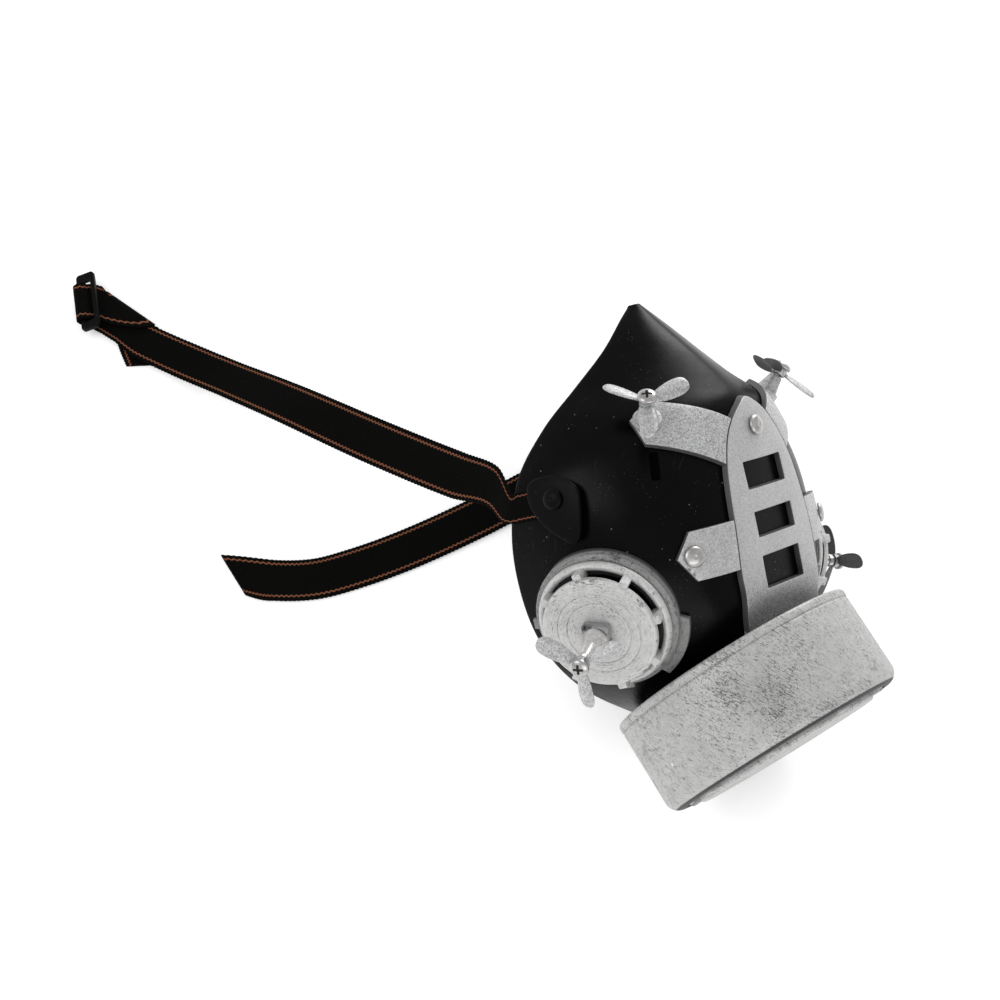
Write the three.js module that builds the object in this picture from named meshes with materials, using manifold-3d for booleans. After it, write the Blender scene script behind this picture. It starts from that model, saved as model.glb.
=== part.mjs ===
import * as THREE from "three";
import { ConvexHull } from "three/addons/math/ConvexHull.js";
import { mergeVertices } from "three/addons/utils/BufferGeometryUtils.js";
import Module from "manifold-3d";

const wasm = await Module();
wasm.setup();

// A costume gas mask that lies on its left cheek: a half face shell with a grille plate, four small
// propellers, two cheek canisters, a drum under the chin and two elastic straps.
// Lengths are in millimetres. The mask is modelled as worn, with X to the wearer's right, Y forward,
// Z up and the chin at the origin, and is then laid down.

// Driving dimensions of the shell
const SHELL_HEIGHT = 156;
const SHELL_HALF_WIDTH = 60;
const SHELL_DEPTH = 62;
const SHELL_WALL = 2;
const FLOOR_THICKNESS = 2;
const SLOT_WIDTH = 3.2;
const SLOT_HEIGHT = 10;

// Clearances
const GAP = 0.35;
const RUNNING_GAP = 0.4;

// Driving dimensions of the drum
const DRUM_RADIUS = 47.5;
const DRUM_HEIGHT = 37;
const DRUM_WALL = 2.2;
const DRUM_TILT = 37.7;
const DRUM_DROP = 1.5;
const DRUM_OVERHANG = 1.6;
const DRUM_RECESS = 2.6;
const DRUM_PLATE = 2;
const DRUM_EDGE_ROUND = 5;
const DRUM_CAP_RADIUS = 41.2;
const DRUM_CAP_DISC = 36;
const DRUM_CAP_RISE = 1.6;
const DRUM_RIB_WIDTH = 5;

// Driving dimensions of the silver trim
const PLATE_THICKNESS = 2.2;
const PLATE_HEIGHT = 82;
const PLATE_HALF_WIDTH = 23.8;
const PLATE_BASE = 42;
const WINDOW_HALF_WIDTH = 11.7;
const ARM_WIDTH = 17;
const ARM_POINT = 6;
const TAB_WIDTH = 17;
const TAB_POINT = 5.8;
const RIVET_RADIUS = 3.6;
const RIVET_DOME = 1.9;
const RIVET_SHANK = 1.25;

// Driving dimensions of the cheek canisters
const CANISTER_RADIUS = 25.4;
const CANISTER_BASE_HEIGHT = 3.3;
const CANISTER_BASE_BORE = 18;
const CANISTER_YAW = 20.2;
const CANISTER_PITCH = 13.3;
const CANISTER_STAND = 0.2;
const CANISTER_SKIRT = 9;
const RING_RADIUS = 23.6;
const RING_HEIGHT = 2.9;
const RING_BAND = 2.8;
const DISC_RADIUS = 20.2;
const DISC_RISE = 8.2;
const DISC_THICKNESS = 2.6;
const GROOVE_RADII = [14.6];
const GROOVE_WIDTH = 0.9;
const GROOVE_DEPTH = 0.5;
const CAP_RIBS = 8;
const RIB_WIDTH = 3.2;
const BOSS_SIDE = 9.4;
const BOSS_HEIGHT = 3.6;
const SPIKE_BASE_RADIUS = 4.6;
const SPIKE_TIP_RADIUS = 2;
const SPIKE_LENGTH = 12;
const NUT_RADIUS = 2.5;
const NUT_HEIGHT = 1.9;

// Driving dimensions of the propellers, their posts and screws
const BLADE_COUNT = 3;
const BLADE_REACH = 17;
const BLADE_WIDTH = 6.4;
const BLADE_ROOT = 2.6;
const BLADE_THICKNESS = 0.8;
const BLADE_PITCH = 24;
const HUB_RADIUS = 2.7;
const HUB_HEIGHT = 2.6;
const SHANK_RADIUS = 1;
const HEAD_RADIUS = 3.3;
const HEAD_HEIGHT = 2.3;
const CROSS_LENGTH = 3.6;
const CROSS_WIDTH = 0.9;
const CROSS_DEPTH = 1.1;
const POST_LENGTH = 8;
const POST_BASE_RADIUS = 4;
const POST_TOP_RADIUS = 2.3;
const POST_FLANGE_RADIUS = 5;
const POST_FLANGE_HEIGHT = 1.6;
const POST_YAW = 38;
const POST_PITCH = 51;

// Driving dimensions of the straps and the slider
const STRAP_WIDTH = 18;
const STRAP_THICKNESS = 1.2;
const STRAP_THROAT = 10.5;
const TAB_PLATE_THICKNESS = 1.6;
const RIGHT_STRAP_RUN = 181.5;
const LEFT_STRAP_RUN = 190;
const LAYER_GAP = 0.4;
const BAR_WIDTH = 2;
const SLIDER_WIDTH = 28;
const SLIDER_PITCH = 6.5;
const SLIDER_TILT = 19.5;
const SLIDER_TURN = 11.8;

// Mesh fineness
const SHELL_ROWS = 14;
const SHELL_COLUMNS = 20;
const ROUND = 22;
const SMALL_ROUND = 8;
const DRUM_ROUND = 32;

const radians = THREE.MathUtils.degToRad;
const at = (x, y, z) => new THREE.Vector3(x, y, z);

// Solids

// A closed solid from a geometry whose faces point outwards.
function solid(geometry) {
  const bare = new THREE.BufferGeometry();
  const flat = geometry.index ? geometry.toNonIndexed() : geometry;
  bare.setAttribute("position", flat.getAttribute("position"));
  const merged = mergeVertices(bare, 1e-4);
  const corners = merged.index.array;
  const kept = [];
  for (let i = 0; i < corners.length; i += 3) {
    const [a, b, c] = corners.slice(i, i + 3);
    if (a !== b && b !== c && c !== a) kept.push(a, b, c);
  }
  return new wasm.Manifold(
    new wasm.Mesh({
      numProp: 3,
      vertProperties: merged.getAttribute("position").array,
      triVerts: new Uint32Array(kept),
    }),
  );
}

function geometryOf(made) {
  const mesh = made.getMesh();
  const points = new Float32Array(mesh.numVert * 3);
  for (let i = 0; i < mesh.numVert; i++) {
    const start = i * mesh.numProp;
    points.set(mesh.vertProperties.subarray(start, start + 3), i * 3);
  }
  return new THREE.BufferGeometry()
    .setAttribute("position", new THREE.BufferAttribute(points, 3))
    .setIndex(new THREE.BufferAttribute(mesh.triVerts, 1));
}

const joined = (parts) => parts.reduce((sum, part) => sum.add(part));
const cut = (body, tools) => tools.reduce((left, tool) => left.subtract(tool), body);
const moved = (geometry, matrix) => geometry.clone().applyMatrix4(matrix);

// A closed body through loops of equally many points, with a fan over each end. The diagonals of
// its faces lean the other way from one point of the loops on.
function loft(loops, mirrorFrom = Infinity) {
  const positions = [];
  const triangle = (...corners) => corners.forEach((p) => positions.push(p.x, p.y, p.z));
  const count = loops[0].length;
  const first = loops[0];
  const last = loops[loops.length - 1];
  const middle = (loop) =>
    loop.reduce((sum, p) => sum.add(p), at(0, 0, 0)).divideScalar(count);
  const start = middle(first);
  const end = middle(last);
  for (let j = 0; j < count; j++) {
    const k = (j + 1) % count;
    for (let i = 1; i < loops.length; i++) {
      const [a, b, c, d] = [loops[i - 1][j], loops[i - 1][k], loops[i][k], loops[i][j]];
      if (j < mirrorFrom) {
        triangle(a, b, c);
        triangle(a, c, d);
      } else {
        triangle(a, b, d);
        triangle(b, c, d);
      }
    }
    triangle(start, first[k], first[j]);
    triangle(end, last[j], last[k]);
  }
  return new THREE.BufferGeometry().setAttribute(
    "position",
    new THREE.Float32BufferAttribute(positions, 3),
  );
}

// A body turned about Z from a profile of [radius, height] points that run upwards on the outside.
function turned(profile, segments) {
  const points = profile.map(([radius, height]) => new THREE.Vector2(radius, height));
  return new THREE.LatheGeometry(points, segments).rotateX(Math.PI / 2);
}

function disc(radius, low, high, segments = ROUND) {
  return turned([[0, low], [radius, low], [radius, high], [0, high]], segments);
}

function washer(bore, radius, low, high, segments = ROUND) {
  const profile = [[bore, low], [radius, low], [radius, high], [bore, high], [bore, low]];
  return turned(profile, segments);
}

function box(width, depth, height, x, y, z) {
  return new THREE.BoxGeometry(width, depth, height).translate(x, y, z);
}

// A matrix whose Z axis is the given direction, whose X axis is as near as it can be to the other one.
function frame(origin, zAxis, xHint) {
  const z = zAxis.clone().normalize();
  const x = xHint.clone().addScaledVector(z, -xHint.dot(z)).normalize();
  const y = new THREE.Vector3().crossVectors(z, x);
  return new THREE.Matrix4().makeBasis(x, y, z).setPosition(origin);
}

function direction(yaw, pitch, side) {
  const flat = Math.cos(radians(pitch));
  return at(
    side * flat * Math.cos(radians(yaw)),
    flat * Math.sin(radians(yaw)),
    Math.sin(radians(pitch)),
  );
}

// Drum frame: Z out of the drum's top, Y forward along it, origin at the middle of the top lip
const drumUp = at(0, -Math.sin(radians(DRUM_TILT)), Math.cos(radians(DRUM_TILT)));
const drumForward = at(0, Math.cos(radians(DRUM_TILT)), Math.sin(radians(DRUM_TILT)));
const drumCentre = drumForward
  .clone()
  .multiplyScalar(DRUM_RADIUS - DRUM_OVERHANG)
  .addScaledVector(drumUp, -DRUM_DROP);
const drumFrame = frame(drumCentre, drumUp, at(1, 0, 0));
const inDrum = (y, z) => at(0, y, z).applyMatrix4(drumFrame);

// Shell

// The shell stands in the drum's lip. Its foot takes its size from the lip.
const LIP_RADIUS = DRUM_RADIUS - DRUM_WALL;
const FOOT_HEIGHT = GAP - DRUM_RECESS;
const footBack = inDrum(GAP - LIP_RADIUS, FOOT_HEIGHT);
const footFront = inDrum(0.64 * LIP_RADIUS, FOOT_HEIGHT);
const foot = {
  rimX: 0,
  rimY: footBack.y,
  rimZ: footBack.z,
  frontY: footFront.y,
  frontZ: footFront.z,
  wide: 0.88 * LIP_RADIUS,
  square: 3.4,
};

// Sections above the foot, each in a plane from its rim points to its front point, up to the nose.
// rimX and wide are shares of the half width, rimY and frontY of the depth, rimZ and frontZ of the
// height. square is the power that rounds the corner between cheek and front.
const SECTIONS = [
  { rimX: 0.26, rimY: 0.0, rimZ: 0.035, frontY: 0.965, frontZ: 0.32, wide: 0.74, square: 3.5 },
  { rimX: 0.55, rimY: -0.09, rimZ: 0.11, frontY: 0.955, frontZ: 0.375, wide: 0.82, square: 3.6 },
  { rimX: 0.78, rimY: -0.16, rimZ: 0.21, frontY: 0.93, frontZ: 0.43, wide: 0.9, square: 3.4 },
  { rimX: 0.93, rimY: -0.2, rimZ: 0.335, frontY: 0.895, frontZ: 0.51, wide: 0.97, square: 3.1 },
  { rimX: 1.0, rimY: -0.215, rimZ: 0.49, frontY: 0.835, frontZ: 0.615, wide: 1.01, square: 2.7 },
  { rimX: 0.965, rimY: -0.18, rimZ: 0.635, frontY: 0.775, frontZ: 0.715, wide: 0.97, square: 2.15 },
  { rimX: 0.81, rimY: -0.1, rimZ: 0.745, frontY: 0.71, frontZ: 0.79, wide: 0.79, square: 1.9 },
  { rimX: 0.6, rimY: -0.02, rimZ: 0.83, frontY: 0.565, frontZ: 0.842, wide: 0.575, square: 1.6 },
  { rimX: 0.36, rimY: 0.015, rimZ: 0.905, frontY: 0.345, frontZ: 0.909, wide: 0.345, square: 1.5 },
  { rimX: 0.15, rimY: -0.005, rimZ: 0.968, frontY: 0.165, frontZ: 0.96, wide: 0.155, square: 1.6 },
  { rimX: 0.045, rimY: -0.02, rimZ: 0.995, frontY: 0.03, frontZ: 1.0, wide: 0.045, square: 1.8 },
];

const SHELL_SCALE = {
  rimX: SHELL_HALF_WIDTH,
  rimY: SHELL_DEPTH,
  rimZ: SHELL_HEIGHT,
  frontY: SHELL_DEPTH,
  frontZ: SHELL_HEIGHT,
  wide: SHELL_HALF_WIDTH,
  square: 1,
};
const SECTION_KEYS = Object.keys(SHELL_SCALE);
const sectionRows = [
  foot,
  ...SECTIONS.map((row) =>
    Object.fromEntries(SECTION_KEYS.map((key) => [key, row[key] * SHELL_SCALE[key]])),
  ),
];
const sectionCurve = new THREE.CubicInterpolant(
  sectionRows.map((row, i) => i / (sectionRows.length - 1)),
  sectionRows.flatMap((row) => SECTION_KEYS.map((key) => row[key])),
  SECTION_KEYS.length,
);

// A point of the outer skin. up runs from the foot 0 to the nose 1, round from the front 0 to the
// right rim 1 or the left rim -1.
function skinPoint(up, round) {
  const values = sectionCurve.evaluate(up);
  const row = Object.fromEntries(SECTION_KEYS.map((key, i) => [key, values[i]]));
  const fromRim = 1 - Math.abs(round);
  const angle = (fromRim * Math.PI) / 2;
  const across = Math.abs(Math.cos(angle));
  const ahead = Math.sin(angle);
  const reach = (across ** row.square + ahead ** row.square) ** (-1 / row.square);
  const opened = 1 - (1 - Math.min(fromRim / 0.55, 1)) ** 2;
  const half = row.rimX + (row.wide - row.rimX) * opened;
  const share = reach * ahead;
  return at(
    Math.sign(round) * half * reach * across,
    row.rimY + (row.frontY - row.rimY) * share,
    row.rimZ + (row.frontZ - row.rimZ) * share,
  );
}

function skinNormal(up, round) {
  const step = 1e-3;
  const low = Math.max(up - step, 0);
  const high = Math.min(up + step, 1);
  const left = Math.max(round - step, -1);
  const right = Math.min(round + step, 1);
  const upward = skinPoint(high, round).sub(skinPoint(low, round));
  const sideward = skinPoint(up, right).sub(skinPoint(up, left));
  return upward.cross(sideward).normalize();
}

const skinAt = (up, round, offset) =>
  skinPoint(up, round).addScaledVector(skinNormal(up, round), offset);

// The body inside the skin, grown or shrunk by an offset. behind stretches it back past the rim.
function skinBody(offset, behind = 0, top = 1) {
  const loops = [];
  for (let i = 0; i <= SHELL_ROWS; i++) {
    const up = (top * i) / SHELL_ROWS;
    const loop = [];
    for (let j = 0; j <= SHELL_COLUMNS; j++)
      loop.push(skinAt(up, 1 - (2 * j) / SHELL_COLUMNS, offset));
    if (behind > 0) {
      const back = skinPoint(up, 1).sub(skinPoint(up, 0)).setX(0).setLength(behind);
      loop.push(loop[SHELL_COLUMNS].clone().add(back));
      loop.push(loop[0].clone().add(back));
    }
    loops.push(loop);
  }
  return solid(loft(loops, SHELL_COLUMNS / 2));
}

const skinCache = new Map();
function skin(offset) {
  if (!skinCache.has(offset)) skinCache.set(offset, skinBody(offset));
  return skinCache.get(offset);
}

const ROOM = 4 * SHELL_HEIGHT;
// Everything on or above a height over the drum's lip.
function aboveDrum(height) {
  return solid(moved(box(ROOM, ROOM, ROOM, 0, 0, height + ROOM / 2), drumFrame));
}
const aboveFoot = aboveDrum(FOOT_HEIGHT);

// A sheet that follows the skin between two offsets, trimmed by a prism.
function sheet(low, high, prism) {
  return skin(high).subtract(skin(low)).intersect(aboveFoot).intersect(prism);
}

// A prism of an outline that passes through the skin at a frame whose Z axis points outwards.
function prism(shape, matrix, reach) {
  const geometry = new THREE.ExtrudeGeometry(shape, {
    depth: 2 * reach,
    bevelEnabled: false,
    curveSegments: 6,
  });
  return solid(moved(geometry.translate(0, 0, -reach), matrix));
}

function outline(points) {
  return new THREE.Shape(points.map(([x, y]) => new THREE.Vector2(x, y)));
}

// Places on the skin, for the right side
const CANISTER_SPOT = { up: 0.296, round: 0.7 };
const POST_SPOT = { up: 0.612, round: 0.498 };
const ARM_JOIN = { up: 0.533, round: 0.159 };
const TAB_RIVET = { up: 0.352, round: 0.412 };
const TAB_JOIN = { up: 0.344, round: 0.241 };
const SLOT_SPOT = { up: 0.523, round: 0.454 };
const STRAP_RIVET = { up: 0.504, round: 0.787 };
const PLATE_RIVET = { up: 0.557, round: 0 };

const PLATE_TOP_OFFSET = GAP + PLATE_THICKNESS;
const STRAP_OFFSET = GAP;
const STRAP_TAB_LOW = STRAP_OFFSET + STRAP_THICKNESS + 4 * GAP;
const STRAP_TAB_HIGH = STRAP_TAB_LOW + TAB_PLATE_THICKNESS;

const skinFrame = (spot, side, hint) =>
  frame(
    skinPoint(spot.up, side * spot.round),
    skinNormal(spot.up, side * spot.round),
    hint,
  );

function canisterFrame(side) {
  const axis = direction(CANISTER_YAW, -CANISTER_PITCH, side);
  const spot = skinPoint(CANISTER_SPOT.up, side * CANISTER_SPOT.round);
  return frame(spot.addScaledVector(axis, CANISTER_STAND), axis, at(0, 0, 1));
}

function postFrame(side) {
  const spot = skinAt(POST_SPOT.up, side * POST_SPOT.round, PLATE_TOP_OFFSET);
  return frame(spot, direction(POST_YAW, POST_PITCH, side), at(0, 0, 1));
}

// Holes for the rivets, as long pins through the skin
function rivetFrame(spot, side, offset) {
  return skinFrame(spot, side, at(0, 0, 1)).multiply(
    new THREE.Matrix4().makeTranslation(0, 0, offset),
  );
}

const RIVETS = [
  { name: "rivet_plate", spot: PLATE_RIVET, side: 1, seat: PLATE_TOP_OFFSET },
  { name: "rivet_side_right", spot: TAB_RIVET, side: 1, seat: PLATE_TOP_OFFSET },
  { name: "rivet_side_left", spot: TAB_RIVET, side: -1, seat: PLATE_TOP_OFFSET },
  { name: "rivet_strap_right", spot: STRAP_RIVET, side: 1, seat: STRAP_TAB_HIGH },
  { name: "rivet_strap_left", spot: STRAP_RIVET, side: -1, seat: STRAP_TAB_HIGH },
];

const rivetHole = ({ spot, side }) =>
  solid(
    moved(
      disc(RIVET_SHANK + GAP, -3 * SHELL_WALL, 3 * SHELL_WALL, SMALL_ROUND),
      rivetFrame(spot, side, 0),
    ),
  );

function rivet({ spot, side, seat }) {
  const dome = [];
  const steps = 3;
  for (let i = 0; i <= steps; i++) {
    const angle = (i / steps) * (Math.PI / 2);
    dome.push([
      RIVET_RADIUS * Math.cos(angle),
      0.5 + (RIVET_DOME - 0.5) * Math.sin(angle),
    ]);
  }
  dome[steps][0] = 0;
  const shankEnd = -(seat + GAP + SHELL_WALL);
  const profile = [
    [0, shankEnd],
    [RIVET_SHANK, shankEnd],
    [RIVET_SHANK, 0],
    [RIVET_RADIUS, 0],
    ...dome,
  ];
  return moved(turned(profile, SMALL_ROUND), rivetFrame(spot, side, seat + GAP));
}

// Shell, hollow and open at the back
function shell() {
  const hollow = skinBody(-SHELL_WALL, SHELL_HALF_WIDTH, 0.93).intersect(
    aboveDrum(FOOT_HEIGHT + FLOOR_THICKNESS),
  );
  const slots = [1, -1].map((side) =>
    solid(
      moved(
        box(SLOT_HEIGHT, SLOT_WIDTH, 6 * SHELL_WALL, 0, 0, 0),
        skinFrame(SLOT_SPOT, side, at(0, 0, 1)),
      ),
    ),
  );
  const outer = skin(0).intersect(aboveFoot);
  return cut(outer, [hollow, ...slots, ...RIVETS.map(rivetHole)]);
}

// Grille plate

// Half outline of the plate: up is a share of its height, out of its half width.
const PLATE_EDGE = [
  { up: 0, out: 0.96 },
  { up: 0.2, out: 0.995 },
  { up: 0.33, out: 1 },
  { up: 0.5, out: 0.95 },
  { up: 0.64, out: 0.89 },
  { up: 0.74, out: 0.81 },
  { up: 0.84, out: 0.66 },
  { up: 0.92, out: 0.45 },
  { up: 0.975, out: 0.2 },
  { up: 1, out: 0 },
];
// Windows of the plate: low and high are shares of its height.
const WINDOWS = [
  { low: 0.21, high: 0.345 },
  { low: 0.425, high: 0.53 },
  { low: 0.625, high: 0.74 },
];

function plateOutline(margin) {
  const half = PLATE_EDGE.map((row) => [
    row.out * (PLATE_HALF_WIDTH + margin),
    PLATE_BASE + row.up * (PLATE_HEIGHT + margin),
  ]);
  const other = half.slice(0, -1).reverse();
  return outline([...half, ...other.map(([x, y]) => [-x, y])]);
}

const plateFrame = frame(at(0, SHELL_DEPTH, 0), at(0, 1, 0), at(-1, 0, 0));
const platePrism = (shape) => prism(shape, plateFrame, SHELL_DEPTH / 2);

function grillePlate() {
  const shape = plateOutline(0);
  for (const row of WINDOWS) {
    const low = PLATE_BASE + row.low * PLATE_HEIGHT;
    const high = PLATE_BASE + row.high * PLATE_HEIGHT;
    const hole = outline([
      [-WINDOW_HALF_WIDTH, low],
      [-WINDOW_HALF_WIDTH, high],
      [WINDOW_HALF_WIDTH, high],
      [WINDOW_HALF_WIDTH, low],
    ]);
    shape.holes.push(hole);
  }
  const plate = sheet(GAP, PLATE_TOP_OFFSET, platePrism(shape));
  return cut(plate, [rivetHole(RIVETS[0])]);
}

// A strip on the skin that starts under the plate's edge and ends in a point past its spot.
function strip(side, spot, join, width, beyond, point) {
  const end = skinPoint(spot.up, side * spot.round);
  const start = skinPoint(join.up, side * join.round);
  const along = end.clone().sub(start);
  const length = along.length();
  const shape = outline([
    [-length - width / 2, -width / 2],
    [beyond - point, -width / 2],
    [beyond, 0],
    [beyond - point, width / 2],
    [-length - width / 2, width / 2],
  ]);
  const matrix = frame(end, skinNormal(spot.up, side * spot.round), along);
  const clear = platePrism(plateOutline(GAP));
  return sheet(GAP, PLATE_TOP_OFFSET, prism(shape, matrix, width)).subtract(clear);
}

function upperArm(side) {
  const arm = strip(side, POST_SPOT, ARM_JOIN, ARM_WIDTH, ARM_POINT, ARM_POINT);
  return cut(arm, [solid(moved(disc(SHANK_RADIUS + GAP, -20, 20, SMALL_ROUND), postFrame(side)))]);
}

function sideTab(side) {
  const tab = strip(side, TAB_RIVET, TAB_JOIN, TAB_WIDTH, TAB_POINT, TAB_POINT);
  return cut(tab, [rivetHole({ spot: TAB_RIVET, side })]);
}

// Posts, propellers and screws. Each stands on a frame whose Z axis is its screw.

const POST_TOP = POST_LENGTH;
const BORE = SHANK_RADIUS + GAP;

function post(side) {
  const profile = [
    [BORE, -POST_FLANGE_RADIUS],
    [POST_FLANGE_RADIUS, -POST_FLANGE_RADIUS],
    [POST_FLANGE_RADIUS, POST_FLANGE_HEIGHT],
    [POST_BASE_RADIUS, POST_FLANGE_HEIGHT],
    [POST_TOP_RADIUS, POST_TOP],
    [BORE, POST_TOP],
    [BORE, -POST_FLANGE_RADIUS],
  ];
  return solid(moved(turned(profile, 14), postFrame(side))).subtract(
    skin(PLATE_TOP_OFFSET + GAP),
  );
}

// The propeller's hub stands at 0 on Z.
function propeller(turn) {
  const hub = solid(washer(SHANK_RADIUS + RUNNING_GAP, HUB_RADIUS, 0, HUB_HEIGHT, 12));
  const length = BLADE_REACH - HUB_RADIUS;
  const shape = new THREE.Shape();
  shape.moveTo(0, -BLADE_ROOT / 2);
  shape.quadraticCurveTo(0.3 * length, -0.5 * BLADE_WIDTH, 0.66 * length, -0.5 * BLADE_WIDTH);
  shape.quadraticCurveTo(length, -0.5 * BLADE_WIDTH, length, 0);
  shape.quadraticCurveTo(length, 0.5 * BLADE_WIDTH, 0.66 * length, 0.5 * BLADE_WIDTH);
  shape.quadraticCurveTo(0.3 * length, 0.5 * BLADE_WIDTH, 0, BLADE_ROOT / 2);
  const blade = new THREE.ExtrudeGeometry(shape, {
    depth: BLADE_THICKNESS,
    bevelEnabled: false,
    curveSegments: 3,
  });
  blade.translate(0, 0, -BLADE_THICKNESS / 2);
  blade.rotateX(radians(BLADE_PITCH));
  blade.translate(HUB_RADIUS - 0.6, 0, HUB_HEIGHT / 2);
  const blades = [];
  for (let i = 0; i < BLADE_COUNT; i++) {
    const angle = radians(turn) + (i * 2 * Math.PI) / BLADE_COUNT;
    blades.push(solid(blade.clone().rotateZ(angle)));
  }
  return joined([hub, ...blades]);
}

// The screw's head stands at 0 on Z, and its shank reaches down by a length.
function screw(shankLength) {
  const profile = [
    [0, -shankLength],
    [SHANK_RADIUS, -shankLength],
    [SHANK_RADIUS, 0],
    [HEAD_RADIUS, 0],
    [HEAD_RADIUS, 0.4 * HEAD_HEIGHT],
    [0.78 * HEAD_RADIUS, 0.85 * HEAD_HEIGHT],
    [0, HEAD_HEIGHT],
  ];
  const depth = HEAD_HEIGHT - CROSS_DEPTH / 2;
  return cut(solid(turned(profile, 10)), [
    solid(box(CROSS_LENGTH, CROSS_WIDTH, CROSS_DEPTH, 0, 0, depth + 0.1)),
    solid(box(CROSS_WIDTH, CROSS_LENGTH, CROSS_DEPTH, 0, 0, depth + 0.1)),
  ]);
}

// Cheek canisters. Z runs outwards from the collar, 0 at the collar's face.

const CAP_LOW = CANISTER_BASE_HEIGHT + GAP;
const DISC_TOP = CAP_LOW + DISC_RISE;
const BOSS_LOW = DISC_TOP + GAP;
const SPIKE_LOW = BOSS_LOW + BOSS_HEIGHT + GAP;
const NUT_LOW = SPIKE_LOW + SPIKE_LENGTH + GAP;
const HUB_LOW = NUT_LOW + NUT_HEIGHT + RUNNING_GAP;

// Lugs round the base: turn in degrees from the top of the cheek towards its back.
const CRESCENT_TURN = -112;
const NUB_TURNS = [96, 192];

// The base is a ring that stands on the skin. Its skirt follows the skin.
function canisterBase(side) {
  const top = CANISTER_BASE_HEIGHT;
  const inset = CANISTER_RADIUS - 0.8;
  const profile = [
    [CANISTER_BASE_BORE, -CANISTER_SKIRT],
    [CANISTER_RADIUS, -CANISTER_SKIRT],
    [CANISTER_RADIUS, 0.2 * top],
    [inset, 0.4 * top],
    [CANISTER_RADIUS, 0.6 * top],
    [CANISTER_RADIUS, 0.75 * top],
    [RING_RADIUS, top],
    [CANISTER_BASE_BORE, top],
    [CANISTER_BASE_BORE, -CANISTER_SKIRT],
  ];
  const lug = new THREE.Shape();
  lug.absarc(0, 0, CANISTER_RADIUS + 3.2, radians(-24), radians(24), false);
  lug.absarc(0, 0, CANISTER_RADIUS - 1.5, radians(28), radians(-28), true);
  const crescent = new THREE.ExtrudeGeometry(lug, {
    depth: 2.4,
    bevelEnabled: false,
    curveSegments: 6,
  });
  crescent.translate(0, 0, -1.6).rotateZ(radians(side * CRESCENT_TURN));
  const nubs = NUB_TURNS.map((turn) =>
    box(3, 4, 2, CANISTER_RADIUS, 0, 0.5 * top).rotateZ(radians(side * turn)),
  );
  const place = canisterFrame(side);
  const bodies = [turned(profile, ROUND), crescent, ...nubs];
  return joined(bodies.map((body) => solid(moved(body, place)))).subtract(skin(GAP));
}

// A slotted cap: an outer ring, a raised disc and ribs between them, from Z 0.
function slottedCap({ ring, band, ringHeight, discRadius, rise, thick, ribWidth, grooves, round }) {
  const inner = ring - band;
  const ringProfile = [
    [inner, 0],
    [ring, 0],
    [ring, 0.5 * ringHeight],
    [ring - 0.4 * band, ringHeight],
    [inner, 0.8 * ringHeight],
    [inner, 0],
  ];
  const low = rise - thick;
  const top = [
    [0, low],
    [discRadius, low],
    [discRadius, rise - 0.7],
    [discRadius - 0.7, rise],
  ];
  for (const radius of grooves) {
    top.push([radius + GROOVE_WIDTH / 2, rise]);
    top.push([radius, rise - GROOVE_DEPTH]);
    top.push([radius - GROOVE_WIDTH / 2, rise]);
  }
  top.push([0, rise]);
  const bodies = [solid(turned(ringProfile, round)), solid(turned(top, round))];
  const outside = ring - 0.45 * band;
  const inside = discRadius - 1.5;
  const foot = 0.3 * ringHeight;
  for (let i = 0; i < CAP_RIBS; i++) {
    const length = outside - inside;
    const height = rise - 0.8 - foot;
    const rib = box(length, ribWidth, height, inside + length / 2, 0, foot + height / 2);
    bodies.push(solid(rib.rotateZ(((i + 0.35) / CAP_RIBS) * 2 * Math.PI)));
  }
  return joined(bodies);
}

const canisterCap = () =>
  slottedCap({
    ring: RING_RADIUS,
    band: RING_BAND,
    ringHeight: RING_HEIGHT,
    discRadius: DISC_RADIUS,
    rise: DISC_RISE,
    thick: DISC_THICKNESS,
    ribWidth: RIB_WIDTH,
    grooves: GROOVE_RADII,
    round: ROUND,
  });

function canisterBoss() {
  const notch = BOSS_SIDE / 3;
  return cut(solid(box(BOSS_SIDE, BOSS_SIDE, BOSS_HEIGHT, 0, 0, BOSS_HEIGHT / 2)), [
    solid(box(notch, notch, BOSS_HEIGHT, BOSS_SIDE / 2, BOSS_SIDE / 4, BOSS_HEIGHT)),
  ]);
}

// A cone with a flared foot and a bore for the screw in its tip
function canisterSpike() {
  const profile = [
    [0, 0],
    [SPIKE_BASE_RADIUS, 0],
    [SPIKE_BASE_RADIUS, 0.08 * SPIKE_LENGTH],
    [0.84 * SPIKE_BASE_RADIUS, 0.3 * SPIKE_LENGTH],
    [SPIKE_TIP_RADIUS, 0.94 * SPIKE_LENGTH],
    [SPIKE_TIP_RADIUS, SPIKE_LENGTH],
    [BORE, SPIKE_LENGTH],
    [BORE, 0.3 * SPIKE_LENGTH],
    [0, 0.3 * SPIKE_LENGTH],
  ];
  return solid(turned(profile, 16));
}

// Drum

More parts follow.
